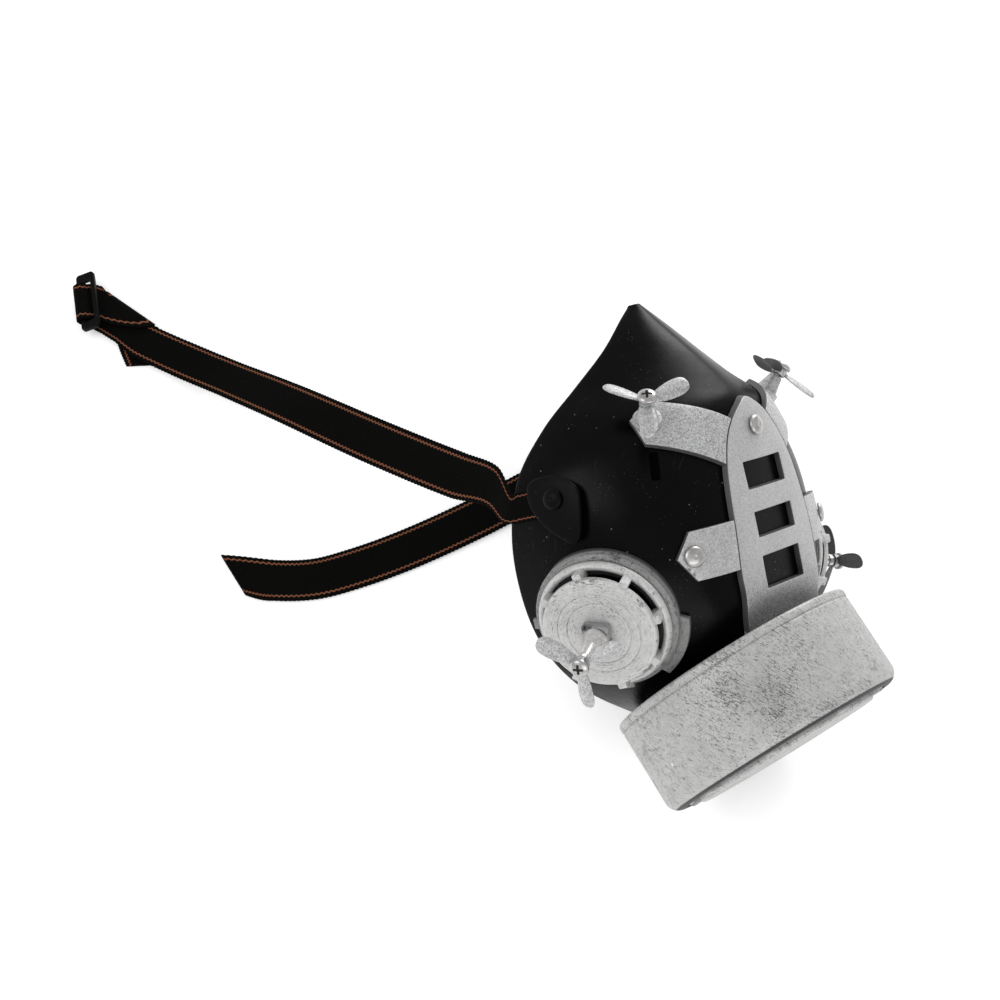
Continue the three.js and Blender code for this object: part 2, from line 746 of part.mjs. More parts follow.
function drum() {
  const low = -DRUM_HEIGHT;
  const edge = [];
  for (let i = 0; i <= 3; i++) {
    const angle = -(Math.PI / 2) * (1 - i / 3);
    edge.push([
      DRUM_RADIUS - DRUM_EDGE_ROUND * (1 - Math.cos(angle)),
      low + DRUM_EDGE_ROUND * (1 + Math.sin(angle)),
    ]);
  }
  const under = -DRUM_RECESS - DRUM_PLATE;
  const mouth = DRUM_CAP_RADIUS + GAP;
  const profile = [
    [0, under],
    [LIP_RADIUS, under],
    [LIP_RADIUS, low + DRUM_EDGE_ROUND + 1],
    [mouth, low + DRUM_WALL],
    [mouth, low],
    ...edge,
    [DRUM_RADIUS, -4],
    [DRUM_RADIUS - 0.6, -3.2],
    [DRUM_RADIUS, -2.4],
    [DRUM_RADIUS, -0.6],
    [DRUM_RADIUS - 0.6, 0],
    [LIP_RADIUS, 0],
    [LIP_RADIUS, -DRUM_RECESS],
    [0, -DRUM_RECESS],
  ];
  return turned(profile, DRUM_ROUND);
}

// The cap sits in the drum's bottom mouth. Its ribs reach the mouth's edge.
function drumCap() {
  return slottedCap({
    ring: DRUM_CAP_RADIUS,
    band: 2.6,
    ringHeight: DRUM_WALL,
    discRadius: DRUM_CAP_DISC,
    rise: DRUM_WALL + DRUM_CAP_RISE,
    thick: DRUM_WALL,
    ribWidth: DRUM_RIB_WIDTH,
    grooves: [0.72 * DRUM_CAP_DISC],
    round: DRUM_ROUND,
  });
}

// Strap tabs: a leaf over the strap's end. ahead and up are shares of the leaf's length.
const LEAF_LENGTH = 22;
const LEAF = [
  { ahead: -0.5, up: 0.17 },
  { ahead: -0.3, up: 0.31 },
  { ahead: 0.02, up: 0.36 },
  { ahead: 0.36, up: 0.22 },
  { ahead: 0.46, up: -0.1 },
  { ahead: 0.47, up: -0.5 },
  { ahead: 0.38, up: -0.66 },
  { ahead: 0.16, up: -0.6 },
  { ahead: -0.2, up: -0.4 },
  { ahead: -0.45, up: -0.12 },
];

function strapTab(side) {
  const matrix = skinFrame(STRAP_RIVET, side, at(0, 1, 0));
  const points = LEAF.map((row) => [row.ahead * LEAF_LENGTH, side * row.up * LEAF_LENGTH]);
  const shape = outline(side > 0 ? points : points.reverse());
  const leaf = skin(STRAP_TAB_HIGH)
    .subtract(skin(STRAP_TAB_LOW))
    .intersect(prism(shape, matrix, LEAF_LENGTH));
  return cut(leaf, [rivetHole({ spot: STRAP_RIVET, side })]);
}

// Materials

const finish = (color, roughness, metalness) =>
  new THREE.MeshStandardMaterial({ color, roughness, metalness });
const BLACK_PLASTIC = finish(0x141416, 0.35, 0);
const SILVER_PAINT = finish(0xb9b9ba, 0.45, 0.7);
const OLD_SILVER = finish(0xaeaeac, 0.5, 0.6);
const BRIGHT_METAL = finish(0xd6d3d0, 0.25, 1);
const DARK_METAL = finish(0x55565a, 0.45, 0.7);
const ELASTIC = finish(0x17150f, 0.85, 0);
const BLACK_TRIM = finish(0x101011, 0.4, 0);

function piece(name, body, material, matrix) {
  const geometry = body.isBufferGeometry ? geometryOf(solid(body)) : geometryOf(body);
  const mesh = new THREE.Mesh(geometry, material);
  mesh.name = name;
  if (matrix) mesh.applyMatrix4(matrix);
  return mesh;
}

const raised = (matrix, height) =>
  matrix.clone().multiply(new THREE.Matrix4().makeTranslation(0, 0, height));

// The mask without its straps, as worn

const SIDES = [
  { side: 1, word: "right" },
  { side: -1, word: "left" },
];
// Turn of each propeller about its screw, in degrees.
const UPPER_TURN = { right: 60, left: 50 };
const CANISTER_TURN = { right: 62, left: 80 };

const worn = new THREE.Group();
worn.add(piece("shell", shell(), BLACK_PLASTIC));
worn.add(piece("grille_plate", grillePlate(), SILVER_PAINT));
worn.add(piece("drum", drum(), OLD_SILVER, drumFrame));
const capFrame = drumFrame
  .clone()
  .multiply(new THREE.Matrix4().makeTranslation(0, 0, -DRUM_HEIGHT + DRUM_WALL))
  .multiply(new THREE.Matrix4().makeRotationX(Math.PI));
worn.add(piece("drum_cap", drumCap(), OLD_SILVER, capFrame));
for (const row of RIVETS) {
  const black = row.name.includes("strap");
  worn.add(piece(row.name, rivet(row), black ? BLACK_TRIM : BRIGHT_METAL));
}
for (const { side, word } of SIDES) {
  worn.add(piece(`upper_arm_${word}`, upperArm(side), SILVER_PAINT));
  worn.add(piece(`side_tab_${word}`, sideTab(side), SILVER_PAINT));
  worn.add(piece(`strap_tab_${word}`, strapTab(side), BLACK_TRIM));
  worn.add(piece(`standoff_${word}`, post(side), SILVER_PAINT));

  const upper = raised(postFrame(side), POST_TOP + RUNNING_GAP);
  worn.add(piece(`propeller_upper_${word}`, propeller(UPPER_TURN[word]), SILVER_PAINT, upper));
  const upperHead = raised(upper, HUB_HEIGHT + RUNNING_GAP);
  const upperShank = HUB_HEIGHT + POST_LENGTH;
  worn.add(piece(`screw_upper_${word}`, screw(upperShank), BRIGHT_METAL, upperHead));

  const stack = canisterFrame(side);
  worn.add(piece(`canister_base_${word}`, canisterBase(side), OLD_SILVER));
  worn.add(piece(`canister_cap_${word}`, canisterCap(), OLD_SILVER, raised(stack, CAP_LOW)));
  worn.add(piece(`canister_boss_${word}`, canisterBoss(), DARK_METAL, raised(stack, BOSS_LOW)));
  worn.add(piece(`canister_spike_${word}`, canisterSpike(), BRIGHT_METAL, raised(stack, SPIKE_LOW)));
  const nut = washer(BORE, NUT_RADIUS, 0, NUT_HEIGHT, 6);
  worn.add(piece(`canister_nut_${word}`, nut, BRIGHT_METAL, raised(stack, NUT_LOW)));
  const hub = raised(stack, HUB_LOW);
  worn.add(piece(`propeller_canister_${word}`, propeller(CANISTER_TURN[word]), SILVER_PAINT, hub));
  const head = raised(hub, HUB_HEIGHT + RUNNING_GAP);
  const shank = HUB_HEIGHT + NUT_HEIGHT + 0.6 * SPIKE_LENGTH;
  worn.add(piece(`screw_canister_${word}`, screw(shank), BRIGHT_METAL, head));
}

// Rest

// The mask lies on the largest face of its hull that looks nearly this way. The strap ends point
// away from the other direction. Both are directions in the worn frame.
const LYING_SIDE = at(-0.58, -0.57, -0.58);
const FORWARD_ON_FLOOR = at(-0.656, 0.752, -0.055);
const HULL_CONE = 0.94;

const hullFaces = new ConvexHull()
  .setFromObject(worn)
  .faces.filter(({ normal }) => normal.dot(LYING_SIDE) > HULL_CONE);
const underside = hullFaces.reduce((best, face) => (face.area > best.area ? face : best));
const laid = frame(at(0, 0, 0), underside.normal.clone().negate(), FORWARD_ON_FLOOR).invert();
worn.applyMatrix4(laid);
worn.position.z -= new THREE.Box3().setFromObject(worn, true).min.z;
worn.updateMatrixWorld(true);

// Straps, in the frame of the floor. Each is a ribbon through rows that hold its middle, the
// direction its width runs in and its width.
function ribbon(rows, each) {
  const middles = rows.map((row) => row.middle);
  const line = new THREE.CatmullRomCurve3(middles, false, "centripetal");
  const count = (rows.length - 1) * each;
  const loops = [];
  for (let i = 0; i <= count; i++) {
    const from = Math.min(Math.floor(i / each), rows.length - 2);
    const share = i / each - from;
    const [a, b] = [rows[from], rows[from + 1]];
    const middle = line.getPoint(i / count);
    middle.z = Math.max(middle.z, STRAP_THICKNESS / 2);
    const half = a.across.clone().lerp(b.across, share).normalize();
    const face = line.getTangent(i / count).cross(half).setLength(STRAP_THICKNESS / 2);
    half.multiplyScalar(THREE.MathUtils.lerp(a.width, b.width, share) / 2);
    loops.push([
      middle.clone().sub(half).sub(face),
      middle.clone().add(half).sub(face),
      middle.clone().add(half).add(face),
      middle.clone().sub(half).add(face),
    ]);
  }
  return solid(loft(loops));
}

// Rows for a list of places, with the width square to the way and to each place's face.
function alongFaces(places) {
  return places.map(({ middle, face, width }, i) => {
    const before = places[Math.max(i - 1, 0)].middle;
    const after = places[Math.min(i + 1, places.length - 1)].middle;
    const across = after.clone().sub(before).cross(face).normalize();
    return { middle, across, width };
  });
}

// The part of a strap that lies on the shell, from under its tab to the rim.
const STRAP_START = 0.825;
function onShell(side) {
  return [0, 0.35, 0.7, 1].map((share) => {
    const round = side * THREE.MathUtils.lerp(STRAP_START, 1, share);
    const middle = skinAt(STRAP_RIVET.up, round, STRAP_OFFSET + STRAP_THICKNESS / 2);
    const face = skinNormal(STRAP_RIVET.up, round).multiplyScalar(side);
    return {
      middle: middle.applyMatrix4(worn.matrixWorld),
      face: face.transformDirection(worn.matrixWorld),
      width: STRAP_THROAT,
    };
  });
}

// Ways of the straps past the rim. away and aside are shares of a strap's run, along -X and +Y.
// height is a share of the rim's height over the floor, wide a share of the strap's width, and
// flat how far its face has turned from the rim's to level.
const RIGHT_WAY = [
  { away: 0.032, aside: 0.063, height: 0.94, wide: 0.86, flat: 0.05 },
  { away: 0.104, aside: 0.12, height: 0.81, wide: 1, flat: 0.15 },
  { away: 0.274, aside: 0.251, height: 0.576, wide: 1, flat: 0.45 },
  { away: 0.489, aside: 0.42, height: 0.3, wide: 1, flat: 0.8 },
  { away: 0.627, aside: 0.524, height: 0.123, wide: 1, flat: 1 },
  { away: 0.737, aside: 0.594, height: 0.036, wide: 1, flat: 1 },
];
const LEFT_WAY = [
  { away: 0.05, aside: 0.022, height: 0.7, wide: 0.8, flat: 0.3 },
  { away: 0.13, aside: 0.038, height: 0.32, wide: 1, flat: 0.75 },
  { away: 0.22, aside: 0.03, height: 0.06, wide: 1, flat: 1 },
  { away: 0.318, aside: -0.005, height: 0, wide: 1, flat: 1 },
  { away: 0.479, aside: -0.098, height: 0, wide: 1, flat: 1 },
  { away: 0.632, aside: -0.176, height: 0, wide: 1, flat: 1 },
  { away: 0.739, aside: -0.22, height: 0, wide: 1, flat: 1 },
  { away: 0.826, aside: -0.246, height: 0, wide: 1, flat: 1 },
  { away: 0.915, aside: -0.25, height: 0, wide: 1, flat: 1 },
];

function offShell(rim, table, run) {
  const level = at(0, 0, Math.sign(rim.face.z));
  return table.map(({ away, aside, height, wide, flat }) => ({
    middle: at(
      rim.middle.x - away * run,
      rim.middle.y + aside * run,
      Math.max(height * rim.middle.z, STRAP_THICKNESS / 2),
    ),
    face: rim.face.clone().lerp(level, flat).normalize(),
    width: wide * STRAP_WIDTH,
  }));
}

// The left strap ends in a slanted cut on the floor.
const LEFT_END = { away: 1, aside: -0.239, slant: 0.6 };

function strapLeft() {
  const shell = onShell(-1);
  const rim = shell[shell.length - 1];
  const rows = alongFaces([...shell, ...offShell(rim, LEFT_WAY, LEFT_STRAP_RUN)]);
  const middle = at(
    rim.middle.x - LEFT_END.away * LEFT_STRAP_RUN,
    rim.middle.y + LEFT_END.aside * LEFT_STRAP_RUN,
    STRAP_THICKNESS / 2,
  );
  const last = rows[rows.length - 1];
  const across = last.across.clone().add(at(-LEFT_END.slant * Math.sign(last.across.y), 0, 0));
  rows.push({ middle, across: across.normalize(), width: STRAP_WIDTH * Math.hypot(1, LEFT_END.slant) });
  return ribbon(rows, 3);
}

// The slider's frame: origin on the floor under its far bar, X towards the mask.
const LAYER = STRAP_THICKNESS + LAYER_GAP;
const TAIL_LAYER = STRAP_THICKNESS / 2;
const MAIN_LAYER = TAIL_LAYER + LAYER;
const RETURN_LAYER = MAIN_LAYER + LAYER;
const TURN_RADIUS = BAR_WIDTH / Math.SQRT2 + LAYER_GAP + STRAP_THICKNESS / 2;
const BAR_HEIGHT = MAIN_LAYER + TURN_RADIUS;
const SLIDER_SPOT = { away: 1, aside: 0.743 };

function sliderFrame() {
  const shell = onShell(1);
  const { middle } = shell[shell.length - 1];
  return new THREE.Matrix4()
    .makeRotationZ(radians(SLIDER_TURN))
    .setPosition(
      middle.x - SLIDER_SPOT.away * RIGHT_STRAP_RUN,
      middle.y + SLIDER_SPOT.aside * RIGHT_STRAP_RUN,
      0,
    );
}

// The end of the right strap. It runs under the slider, turns round the far bar, comes back under
// the near bar, and is folded over the strap's own edge so that its tail lies under it. x, y and
// wide are shares of the strap's half width, half width and width. turn is the angle of its width
// from Y, in degrees.
const ENTRY_WAY = [
  { x: 2.62, y: -2.44, turn: 42, wide: 0.96 },
  { x: 1.68, y: -1.57, turn: 35, wide: 0.76 },
  { x: 0.99, y: -0.93, turn: 23, wide: 0.77 },
  { x: 0.42, y: -0.39, turn: 9, wide: 0.9 },
];
const BEFORE_FOLD = { x: 0.88, y: -0.08, turn: 4, wide: 1 };
const FOLD = { x: 2.09, y: -0.67, turn: -42, wide: 1.55 };
const TAIL_WAY = [
  { x: 2.36, y: -2.16, turn: -100, wide: 1 },
  { x: 2.63, y: -3.67, turn: -82, wide: 1 },
];
const HALF_TURN = [0, 45, 90, 135, 180];

function strapEnd(place) {
  const half = STRAP_WIDTH / 2;
  const nearX = SLIDER_PITCH * Math.cos(radians(SLIDER_TILT));
  const nearZ = BAR_HEIGHT + SLIDER_PITCH * Math.sin(radians(SLIDER_TILT)) - TURN_RADIUS;
  const row = ({ x, y, turn, wide }, z) => ({
    middle: at(x * half, y * half, z).applyMatrix4(place),
    across: at(Math.sin(radians(turn)), Math.cos(radians(turn)), 0).transformDirection(place),
    width: wide * STRAP_WIDTH,
  });
  const straight = (x, z) => row({ x: x / half, y: 0, turn: 0, wide: 1 }, z);
  const loop = HALF_TURN.map((turn) => {
    const ahead = TURN_RADIUS * Math.sin(radians(turn));
    return straight(-ahead, BAR_HEIGHT - TURN_RADIUS * Math.cos(radians(turn)));
  });
  const fold = HALF_TURN.map((turn) => {
    const out = (LAYER / half) * Math.sin(radians(turn));
    const x = FOLD.x + out * Math.cos(radians(FOLD.turn));
    const y = FOLD.y - out * Math.sin(radians(FOLD.turn));
    return row({ ...FOLD, x, y }, MAIN_LAYER + LAYER * Math.cos(radians(turn)));
  });
  return [
    ...ENTRY_WAY.map((spot) => row(spot, MAIN_LAYER)),
    ...loop,
    straight(nearX / 2, (BAR_HEIGHT + TURN_RADIUS + nearZ) / 2),
    straight(nearX, nearZ),
    row(BEFORE_FOLD, RETURN_LAYER),
    ...fold,
    ...TAIL_WAY.map((spot) => row(spot, TAIL_LAYER)),
  ];
}

function strapRight(place) {
  const shell = onShell(1);
  const way = offShell(shell[shell.length - 1], RIGHT_WAY, RIGHT_STRAP_RUN);
  const rows = [...alongFaces([...shell, ...way]), ...strapEnd(place)];
  return ribbon(rows, 3);
}

function slider() {
  const length = SLIDER_PITCH + BAR_WIDTH;
  const bore = SLIDER_PITCH - BAR_WIDTH;
  const window = STRAP_WIDTH + 4 * LAYER_GAP;
  const rectangle = (width, height, round) => {
    const [x, y] = [width / 2, height / 2];
    return [
      [x, -y + round], [x, y - round], [x - round, y], [-x + round, y],
      [-x, y - round], [-x, -y + round], [-x + round, -y], [x - round, -y],
    ];
  };
  const shape = outline(rectangle(length, SLIDER_WIDTH, 1));
  shape.holes.push(outline(rectangle(bore, window, 0.4).reverse()));
  return new THREE.ExtrudeGeometry(shape, { depth: BAR_WIDTH, bevelEnabled: false })
    .translate(SLIDER_PITCH / 2, 0, -BAR_WIDTH / 2)
    .rotateY(-radians(SLIDER_TILT))
    .translate(0, 0, BAR_HEIGHT);
}

const sliderPlace = sliderFrame();
const straps = new THREE.Group();
straps.add(piece("strap_right", strapRight(sliderPlace), ELASTIC));
straps.add(piece("strap_left", strapLeft(), ELASTIC));
straps.add(piece("slider", slider(), BLACK_TRIM, sliderPlace));

// The part's origin is at the middle of the bottom of its bounds.
const lying = new THREE.Group();
lying.add(worn);
lying.add(straps);
const bounds = new THREE.Box3().setFromObject(lying, true);
const middle = bounds.getCenter(at(0, 0, 0));
lying.position.set(-middle.x, -middle.y, -bounds.min.z);

const part = new THREE.Group();
part.add(lying);

export default part;
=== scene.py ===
import math

import bmesh
import bpy
import numpy as np
from bpy.props import FloatProperty, FloatVectorProperty, PointerProperty
from mathutils import Matrix, Vector
from mathutils.bvhtree import BVHTree
from mathutils.geometry import delaunay_2d_cdt


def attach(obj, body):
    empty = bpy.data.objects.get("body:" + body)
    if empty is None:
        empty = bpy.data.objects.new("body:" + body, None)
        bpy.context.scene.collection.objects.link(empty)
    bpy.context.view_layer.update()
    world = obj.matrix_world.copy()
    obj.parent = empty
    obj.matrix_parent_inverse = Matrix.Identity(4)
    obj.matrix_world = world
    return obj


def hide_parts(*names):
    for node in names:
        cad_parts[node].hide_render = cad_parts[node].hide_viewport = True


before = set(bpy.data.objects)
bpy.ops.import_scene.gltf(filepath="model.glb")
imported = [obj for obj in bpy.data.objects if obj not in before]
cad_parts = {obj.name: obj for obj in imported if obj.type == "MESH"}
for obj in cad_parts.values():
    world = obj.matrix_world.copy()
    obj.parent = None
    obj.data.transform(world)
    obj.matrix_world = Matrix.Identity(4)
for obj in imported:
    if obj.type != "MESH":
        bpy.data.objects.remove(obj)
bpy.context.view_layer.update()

bl_info = {
    "name": "Costume gas mask",
    "version": (1, 0, 0),
    "blender": (4, 5, 0),
    "location": "View3D > Sidebar > Mask",
    "description": "Dresses a costume gas mask that lies on its left cheek",
    "category": "Object",
}

# Lengths in this file are in millimetres unless a name says metres. The mask is built as worn,
# X to the wearer's right, Y forward, Z up, and then laid down by one matrix.
METRE = 1000.0

# The worn mask's axes and origin in the frame of the floor.
WORN_TO_FLOOR = np.array([
    [-0.67264756, 0.73653057, -0.07118972, 78.8147],
    [-0.46709561, -0.34801678, 0.81283825, -76.5334],
    [0.573905, 0.580006, 0.578123, 13.3828],
    [0.0, 0.0, 0.0, 1.0],
])

GAP = 0.35
RUNNING_GAP = 0.4

# Shell
SHELL_HEIGHT = 156
SHELL_HALF_WIDTH = 60
SHELL_DEPTH = 62
SHELL_WALL = 2
FLOOR_THICKNESS = 2
HOLLOW_TOP = 0.93
SLOT_WIDTH = 3.2
SLOT_HEIGHT = 10
SLOT_DEPTH = 1.7

# Drum
DRUM_RADIUS = 47.5
DRUM_HEIGHT = 37
DRUM_WALL = 2.2
DRUM_TILT = 37.7
DRUM_DROP = 1.5
DRUM_OVERHANG = 1.6
DRUM_RECESS = 2.6
DRUM_PLATE = 2
DRUM_EDGE_ROUND = 5
DRUM_CAP_RADIUS = 41.2
DRUM_CAP_DISC = 36
DRUM_CAP_RISE = 1.6
DRUM_RIB_WIDTH = 5

# Silver trim
PLATE_THICKNESS = 2.2
PLATE_HEIGHT = 82
PLATE_HALF_WIDTH = 23.8
PLATE_BASE = 42
WINDOW_HALF_WIDTH = 11.7
ARM_WIDTH = 17
ARM_POINT = 6
TAB_WIDTH = 17
TAB_POINT = 5.8
RIVET_RADIUS = 3.6
RIVET_DOME = 1.9
RIVET_SHANK = 1.25

# Canisters
CANISTER_RADIUS = 25.4
CANISTER_BASE_HEIGHT = 3.3
CANISTER_BASE_BORE = 18
CANISTER_YAW = 20.2
CANISTER_PITCH = 13.3
CANISTER_STAND = 0.2
CANISTER_SKIRT = 9
RING_RADIUS = 23.6
RING_HEIGHT = 2.9
RING_BAND = 2.8
DISC_RADIUS = 20.2
DISC_RISE = 8.2
DISC_THICKNESS = 2.6
CAP_RIBS = 8
RIB_WIDTH = 3.2
BOSS_SIDE = 9.4
BOSS_HEIGHT = 3.6
SPIKE_BASE_RADIUS = 4.6
SPIKE_TIP_RADIUS = 2
SPIKE_LENGTH = 12
NUT_RADIUS = 2.5
NUT_HEIGHT = 1.9
CRESCENT_TURN = -112
NUB_TURNS = [96, 192]

# Propellers, their posts and screws
BLADE_COUNT = 3
BLADE_REACH = 17
BLADE_WIDTH = 6.4
BLADE_ROOT = 2.6
BLADE_THICKNESS = 0.8
BLADE_PITCH = 24
HUB_RADIUS = 2.7
HUB_HEIGHT = 2.6
SHANK_RADIUS = 1
HEAD_RADIUS = 3.3
HEAD_HEIGHT = 2.3
CROSS_LENGTH = 3.6
CROSS_WIDTH = 0.9
CROSS_DEPTH = 1.1
POST_LENGTH = 8
POST_BASE_RADIUS = 4
POST_TOP_RADIUS = 2.3
POST_FLANGE_RADIUS = 5
POST_FLANGE_HEIGHT = 1.6
POST_YAW = 38
POST_PITCH = 51
UPPER_TURN = {"right": 60, "left": 50}
CANISTER_TURN = {"right": 62, "left": 80}

# Straps and slider
STRAP_WIDTH = 18
STRAP_THICKNESS = 1.2
STRAP_THROAT = 10.5
TAB_PLATE_THICKNESS = 1.6
RIGHT_STRAP_RUN = 181.5
LEFT_STRAP_RUN = 190
LAYER_GAP = 0.4
BAR_WIDTH = 2
SLIDER_WIDTH = 28
SLIDER_PITCH = 6.5
SLIDER_TILT = 19.5
SLIDER_TURN = 11.8

SIDES = {"right": 1, "left": -1}

# Points and frames


def at(x, y, z):
    return np.array([x, y, z], float)


def unit(vector):
    return vector / np.linalg.norm(vector)


def turn_about(axis, degrees):
    return np.array(Matrix.Rotation(math.radians(degrees), 4, axis))


def lift(height):
    return np.array(Matrix.Translation((0, 0, height)))


def frame_at(origin, z_axis, x_hint):
    """A matrix whose Z axis is z_axis and whose X axis is as near as it can be to x_hint."""
    z = unit(z_axis)
    x = unit(x_hint - z * (x_hint @ z))
    made = np.eye(4)
    made[:3, 0], made[:3, 1], made[:3, 2], made[:3, 3] = x, np.cross(z, x), z, origin
    return made


def placed(matrix, points):
    return np.asarray(points, float) @ matrix[:3, :3].T + matrix[:3, 3]


def in_frame(matrix, points):
    return placed(np.linalg.inv(matrix), points)


def direction(yaw, pitch, side):
    flat = math.cos(math.radians(pitch))
    return at(
        side * flat * math.cos(math.radians(yaw)),
        flat * math.sin(math.radians(yaw)),
        math.sin(math.radians(pitch)),
    )


# The drum's frame: Z out of its top, Y forward along it, origin in the middle of its top lip.
DRUM_UP = at(0, -math.sin(math.radians(DRUM_TILT)), math.cos(math.radians(DRUM_TILT)))
DRUM_FORWARD = at(0, math.cos(math.radians(DRUM_TILT)), math.sin(math.radians(DRUM_TILT)))
DRUM_CENTRE = DRUM_FORWARD * (DRUM_RADIUS - DRUM_OVERHANG) - DRUM_UP * DRUM_DROP
DRUM_FRAME = frame_at(DRUM_CENTRE, DRUM_UP, at(1, 0, 0))
LIP_RADIUS = DRUM_RADIUS - DRUM_WALL
FOOT_HEIGHT = GAP - DRUM_RECESS

# Skin of the shell

FOOT_BACK = placed(DRUM_FRAME, at(0, GAP - LIP_RADIUS, FOOT_HEIGHT))
FOOT_FRONT = placed(DRUM_FRAME, at(0, 0.64 * LIP_RADIUS, FOOT_HEIGHT))
FOOT = [0, FOOT_BACK[1], FOOT_BACK[2], FOOT_FRONT[1], FOOT_FRONT[2], 0.88 * LIP_RADIUS, 3.4]

# Sections above the foot, up to the nose. rim x and wide are shares of the half width, rim y and
# front y of the depth, rim z and front z of the height. square rounds the corner from cheek to
# front.
SECTIONS = [
    # rim x, rim y, rim z, front y, front z, wide, square
    [0.26, 0.0, 0.035, 0.965, 0.32, 0.74, 3.5],
    [0.55, -0.09, 0.11, 0.955, 0.375, 0.82, 3.6],
    [0.78, -0.16, 0.21, 0.93, 0.43, 0.9, 3.4],
    [0.93, -0.2, 0.335, 0.895, 0.51, 0.97, 3.1],
    [1.0, -0.215, 0.49, 0.835, 0.615, 1.01, 2.7],
    [0.965, -0.18, 0.635, 0.775, 0.715, 0.97, 2.15],
    [0.81, -0.1, 0.745, 0.71, 0.79, 0.79, 1.9],
    [0.6, -0.02, 0.83, 0.565, 0.842, 0.575, 1.6],
    [0.36, 0.015, 0.905, 0.345, 0.909, 0.345, 1.5],
    [0.15, -0.005, 0.968, 0.165, 0.96, 0.155, 1.6],
    [0.045, -0.02, 0.995, 0.03, 1.0, 0.045, 1.8],
]
SECTION_SCALE = [SHELL_HALF_WIDTH, SHELL_DEPTH, SHELL_HEIGHT, SHELL_DEPTH, SHELL_HEIGHT,
                 SHELL_HALF_WIDTH, 1]
SECTION_ROWS = np.vstack([FOOT, np.array(SECTIONS) * SECTION_SCALE])


def sections_at(up):
    """The section values at heights up, along a smooth curve through the rows."""
    rows = SECTION_ROWS
    last = len(rows) - 1
    place = np.clip(np.asarray(up, float), 0, 1) * last
    low = np.minimum(place.astype(int), last - 1)
    share = (place - low)[..., None]
    before = np.where(low > 0, low - 1, low + 1)
    after = np.where(low < last - 1, low + 2, low)
    pull_before = np.where(low > 0, 0.5, -0.5)[..., None]
    pull_after = np.where(low < last - 1, 0.5, -0.5)[..., None]
    square, cube = share**2, share**3
    return (
        rows[before] * (-pull_before * cube + 2 * pull_before * square - pull_before * share)
        + rows[low] * ((1 + pull_before) * cube + (-1.5 - 2 * pull_before) * square
                       + (-0.5 + pull_before) * share + 1)
        + rows[low + 1] * ((-1 - pull_after) * cube + (1.5 + pull_after) * square + 0.5 * share)
        + rows[after] * (pull_after * cube - pull_after * square)
    )


def skin_point(up, around):
    """Points of the outer skin. up runs from the foot 0 to the nose 1, around from the front 0 to
    the right rim 1 or the left rim -1."""
    up, around = np.broadcast_arrays(np.asarray(up, float), np.asarray(around, float))
    rim_x, rim_y, rim_z, front_y, front_z, wide, square = np.moveaxis(sections_at(up), -1, 0)
    from_rim = np.clip(1 - np.abs(around), 0, 1)
    angle = from_rim * math.pi / 2
    across, ahead = np.abs(np.cos(angle)), np.sin(angle)
    reach = (across**square + ahead**square) ** (-1 / square)
    opened = 1 - (1 - np.minimum(from_rim / 0.55, 1)) ** 2
    half = rim_x + (wide - rim_x) * opened
    share = reach * ahead
    return np.stack([
        np.sign(around) * half * reach * across,
        rim_y + (front_y - rim_y) * share,
        rim_z + (front_z - rim_z) * share,
    ], -1)


def skin_normal(up, around):
    step = 1e-3
    up, around = np.broadcast_arrays(np.asarray(up, float), np.asarray(around, float))
    upward = (skin_point(np.minimum(up + step, 1), around)
              - skin_point(np.maximum(up - step, 0), around))
    sideward = (skin_point(up, np.minimum(around + step, 1))
                - skin_point(up, np.maximum(around - step, -1)))
    normal = np.cross(upward, sideward)
    return normal / np.linalg.norm(normal, axis=-1, keepdims=True)


def skin_at(up, around, offset):
    return skin_point(up, around) + skin_normal(up, around) * np.asarray(offset)[..., None]


GRID_UP = 220
GRID_AROUND = 320
_grids = {}


def skin_grid(offset):
    """A fine net of the skin at an offset, to drop points on."""
    if offset not in _grids:
        up, around = np.meshgrid(np.linspace(0, 1, GRID_UP), np.linspace(-1, 1, GRID_AROUND),
                                 indexing="ij")
        points = skin_at(up, around, np.full(up.shape, offset)).reshape(-1, 3)
        quads = grid_faces(GRID_UP, GRID_AROUND)
        _grids[offset] = BVHTree.FromPolygons(points.tolist(), quads)
    return _grids[offset]


def dropped(points, along, offset, fallback=None):
    """Where rays from points meet the skin at an offset."""
    tree = skin_grid(offset)
    made = []
    for point in points:
        hit = tree.ray_cast(Vector(point), Vector(along))[0]
        if hit is None:
            if fallback is None:
                raise RuntimeError(f"no skin under {point}")
            hit = Vector(point) + Vector(along) * fallback
        made.append(hit)
    return np.array(made)


# Places on the skin, for the right side: height and place around
CANISTER_SPOT = (0.296, 0.7)
POST_SPOT = (0.612, 0.498)
ARM_JOIN = (0.533, 0.159)
TAB_RIVET = (0.352, 0.412)
TAB_JOIN = (0.344, 0.241)
SLOT_SPOT = (0.523, 0.454)
STRAP_RIVET = (0.504, 0.787)
PLATE_RIVET = (0.557, 0.0)

PLATE_TOP = GAP + PLATE_THICKNESS
STRAP_OFFSET = GAP
STRAP_TAB_LOW = STRAP_OFFSET + STRAP_THICKNESS + 4 * GAP
STRAP_TAB_HIGH = STRAP_TAB_LOW + TAB_PLATE_THICKNESS


def skin_frame(spot, side, hint):
    up, around = spot
    return frame_at(skin_point(up, side * around), skin_normal(up, side * around), hint)


def canister_frame(side):
    axis = direction(CANISTER_YAW, -CANISTER_PITCH, side)
    spot = skin_point(CANISTER_SPOT[0], side * CANISTER_SPOT[1])
    return frame_at(spot + axis * CANISTER_STAND, axis, at(0, 0, 1))


def post_frame(side):
    spot = skin_at(POST_SPOT[0], side * POST_SPOT[1], PLATE_TOP)
    return frame_at(spot, direction(POST_YAW, POST_PITCH, side), at(0, 0, 1))


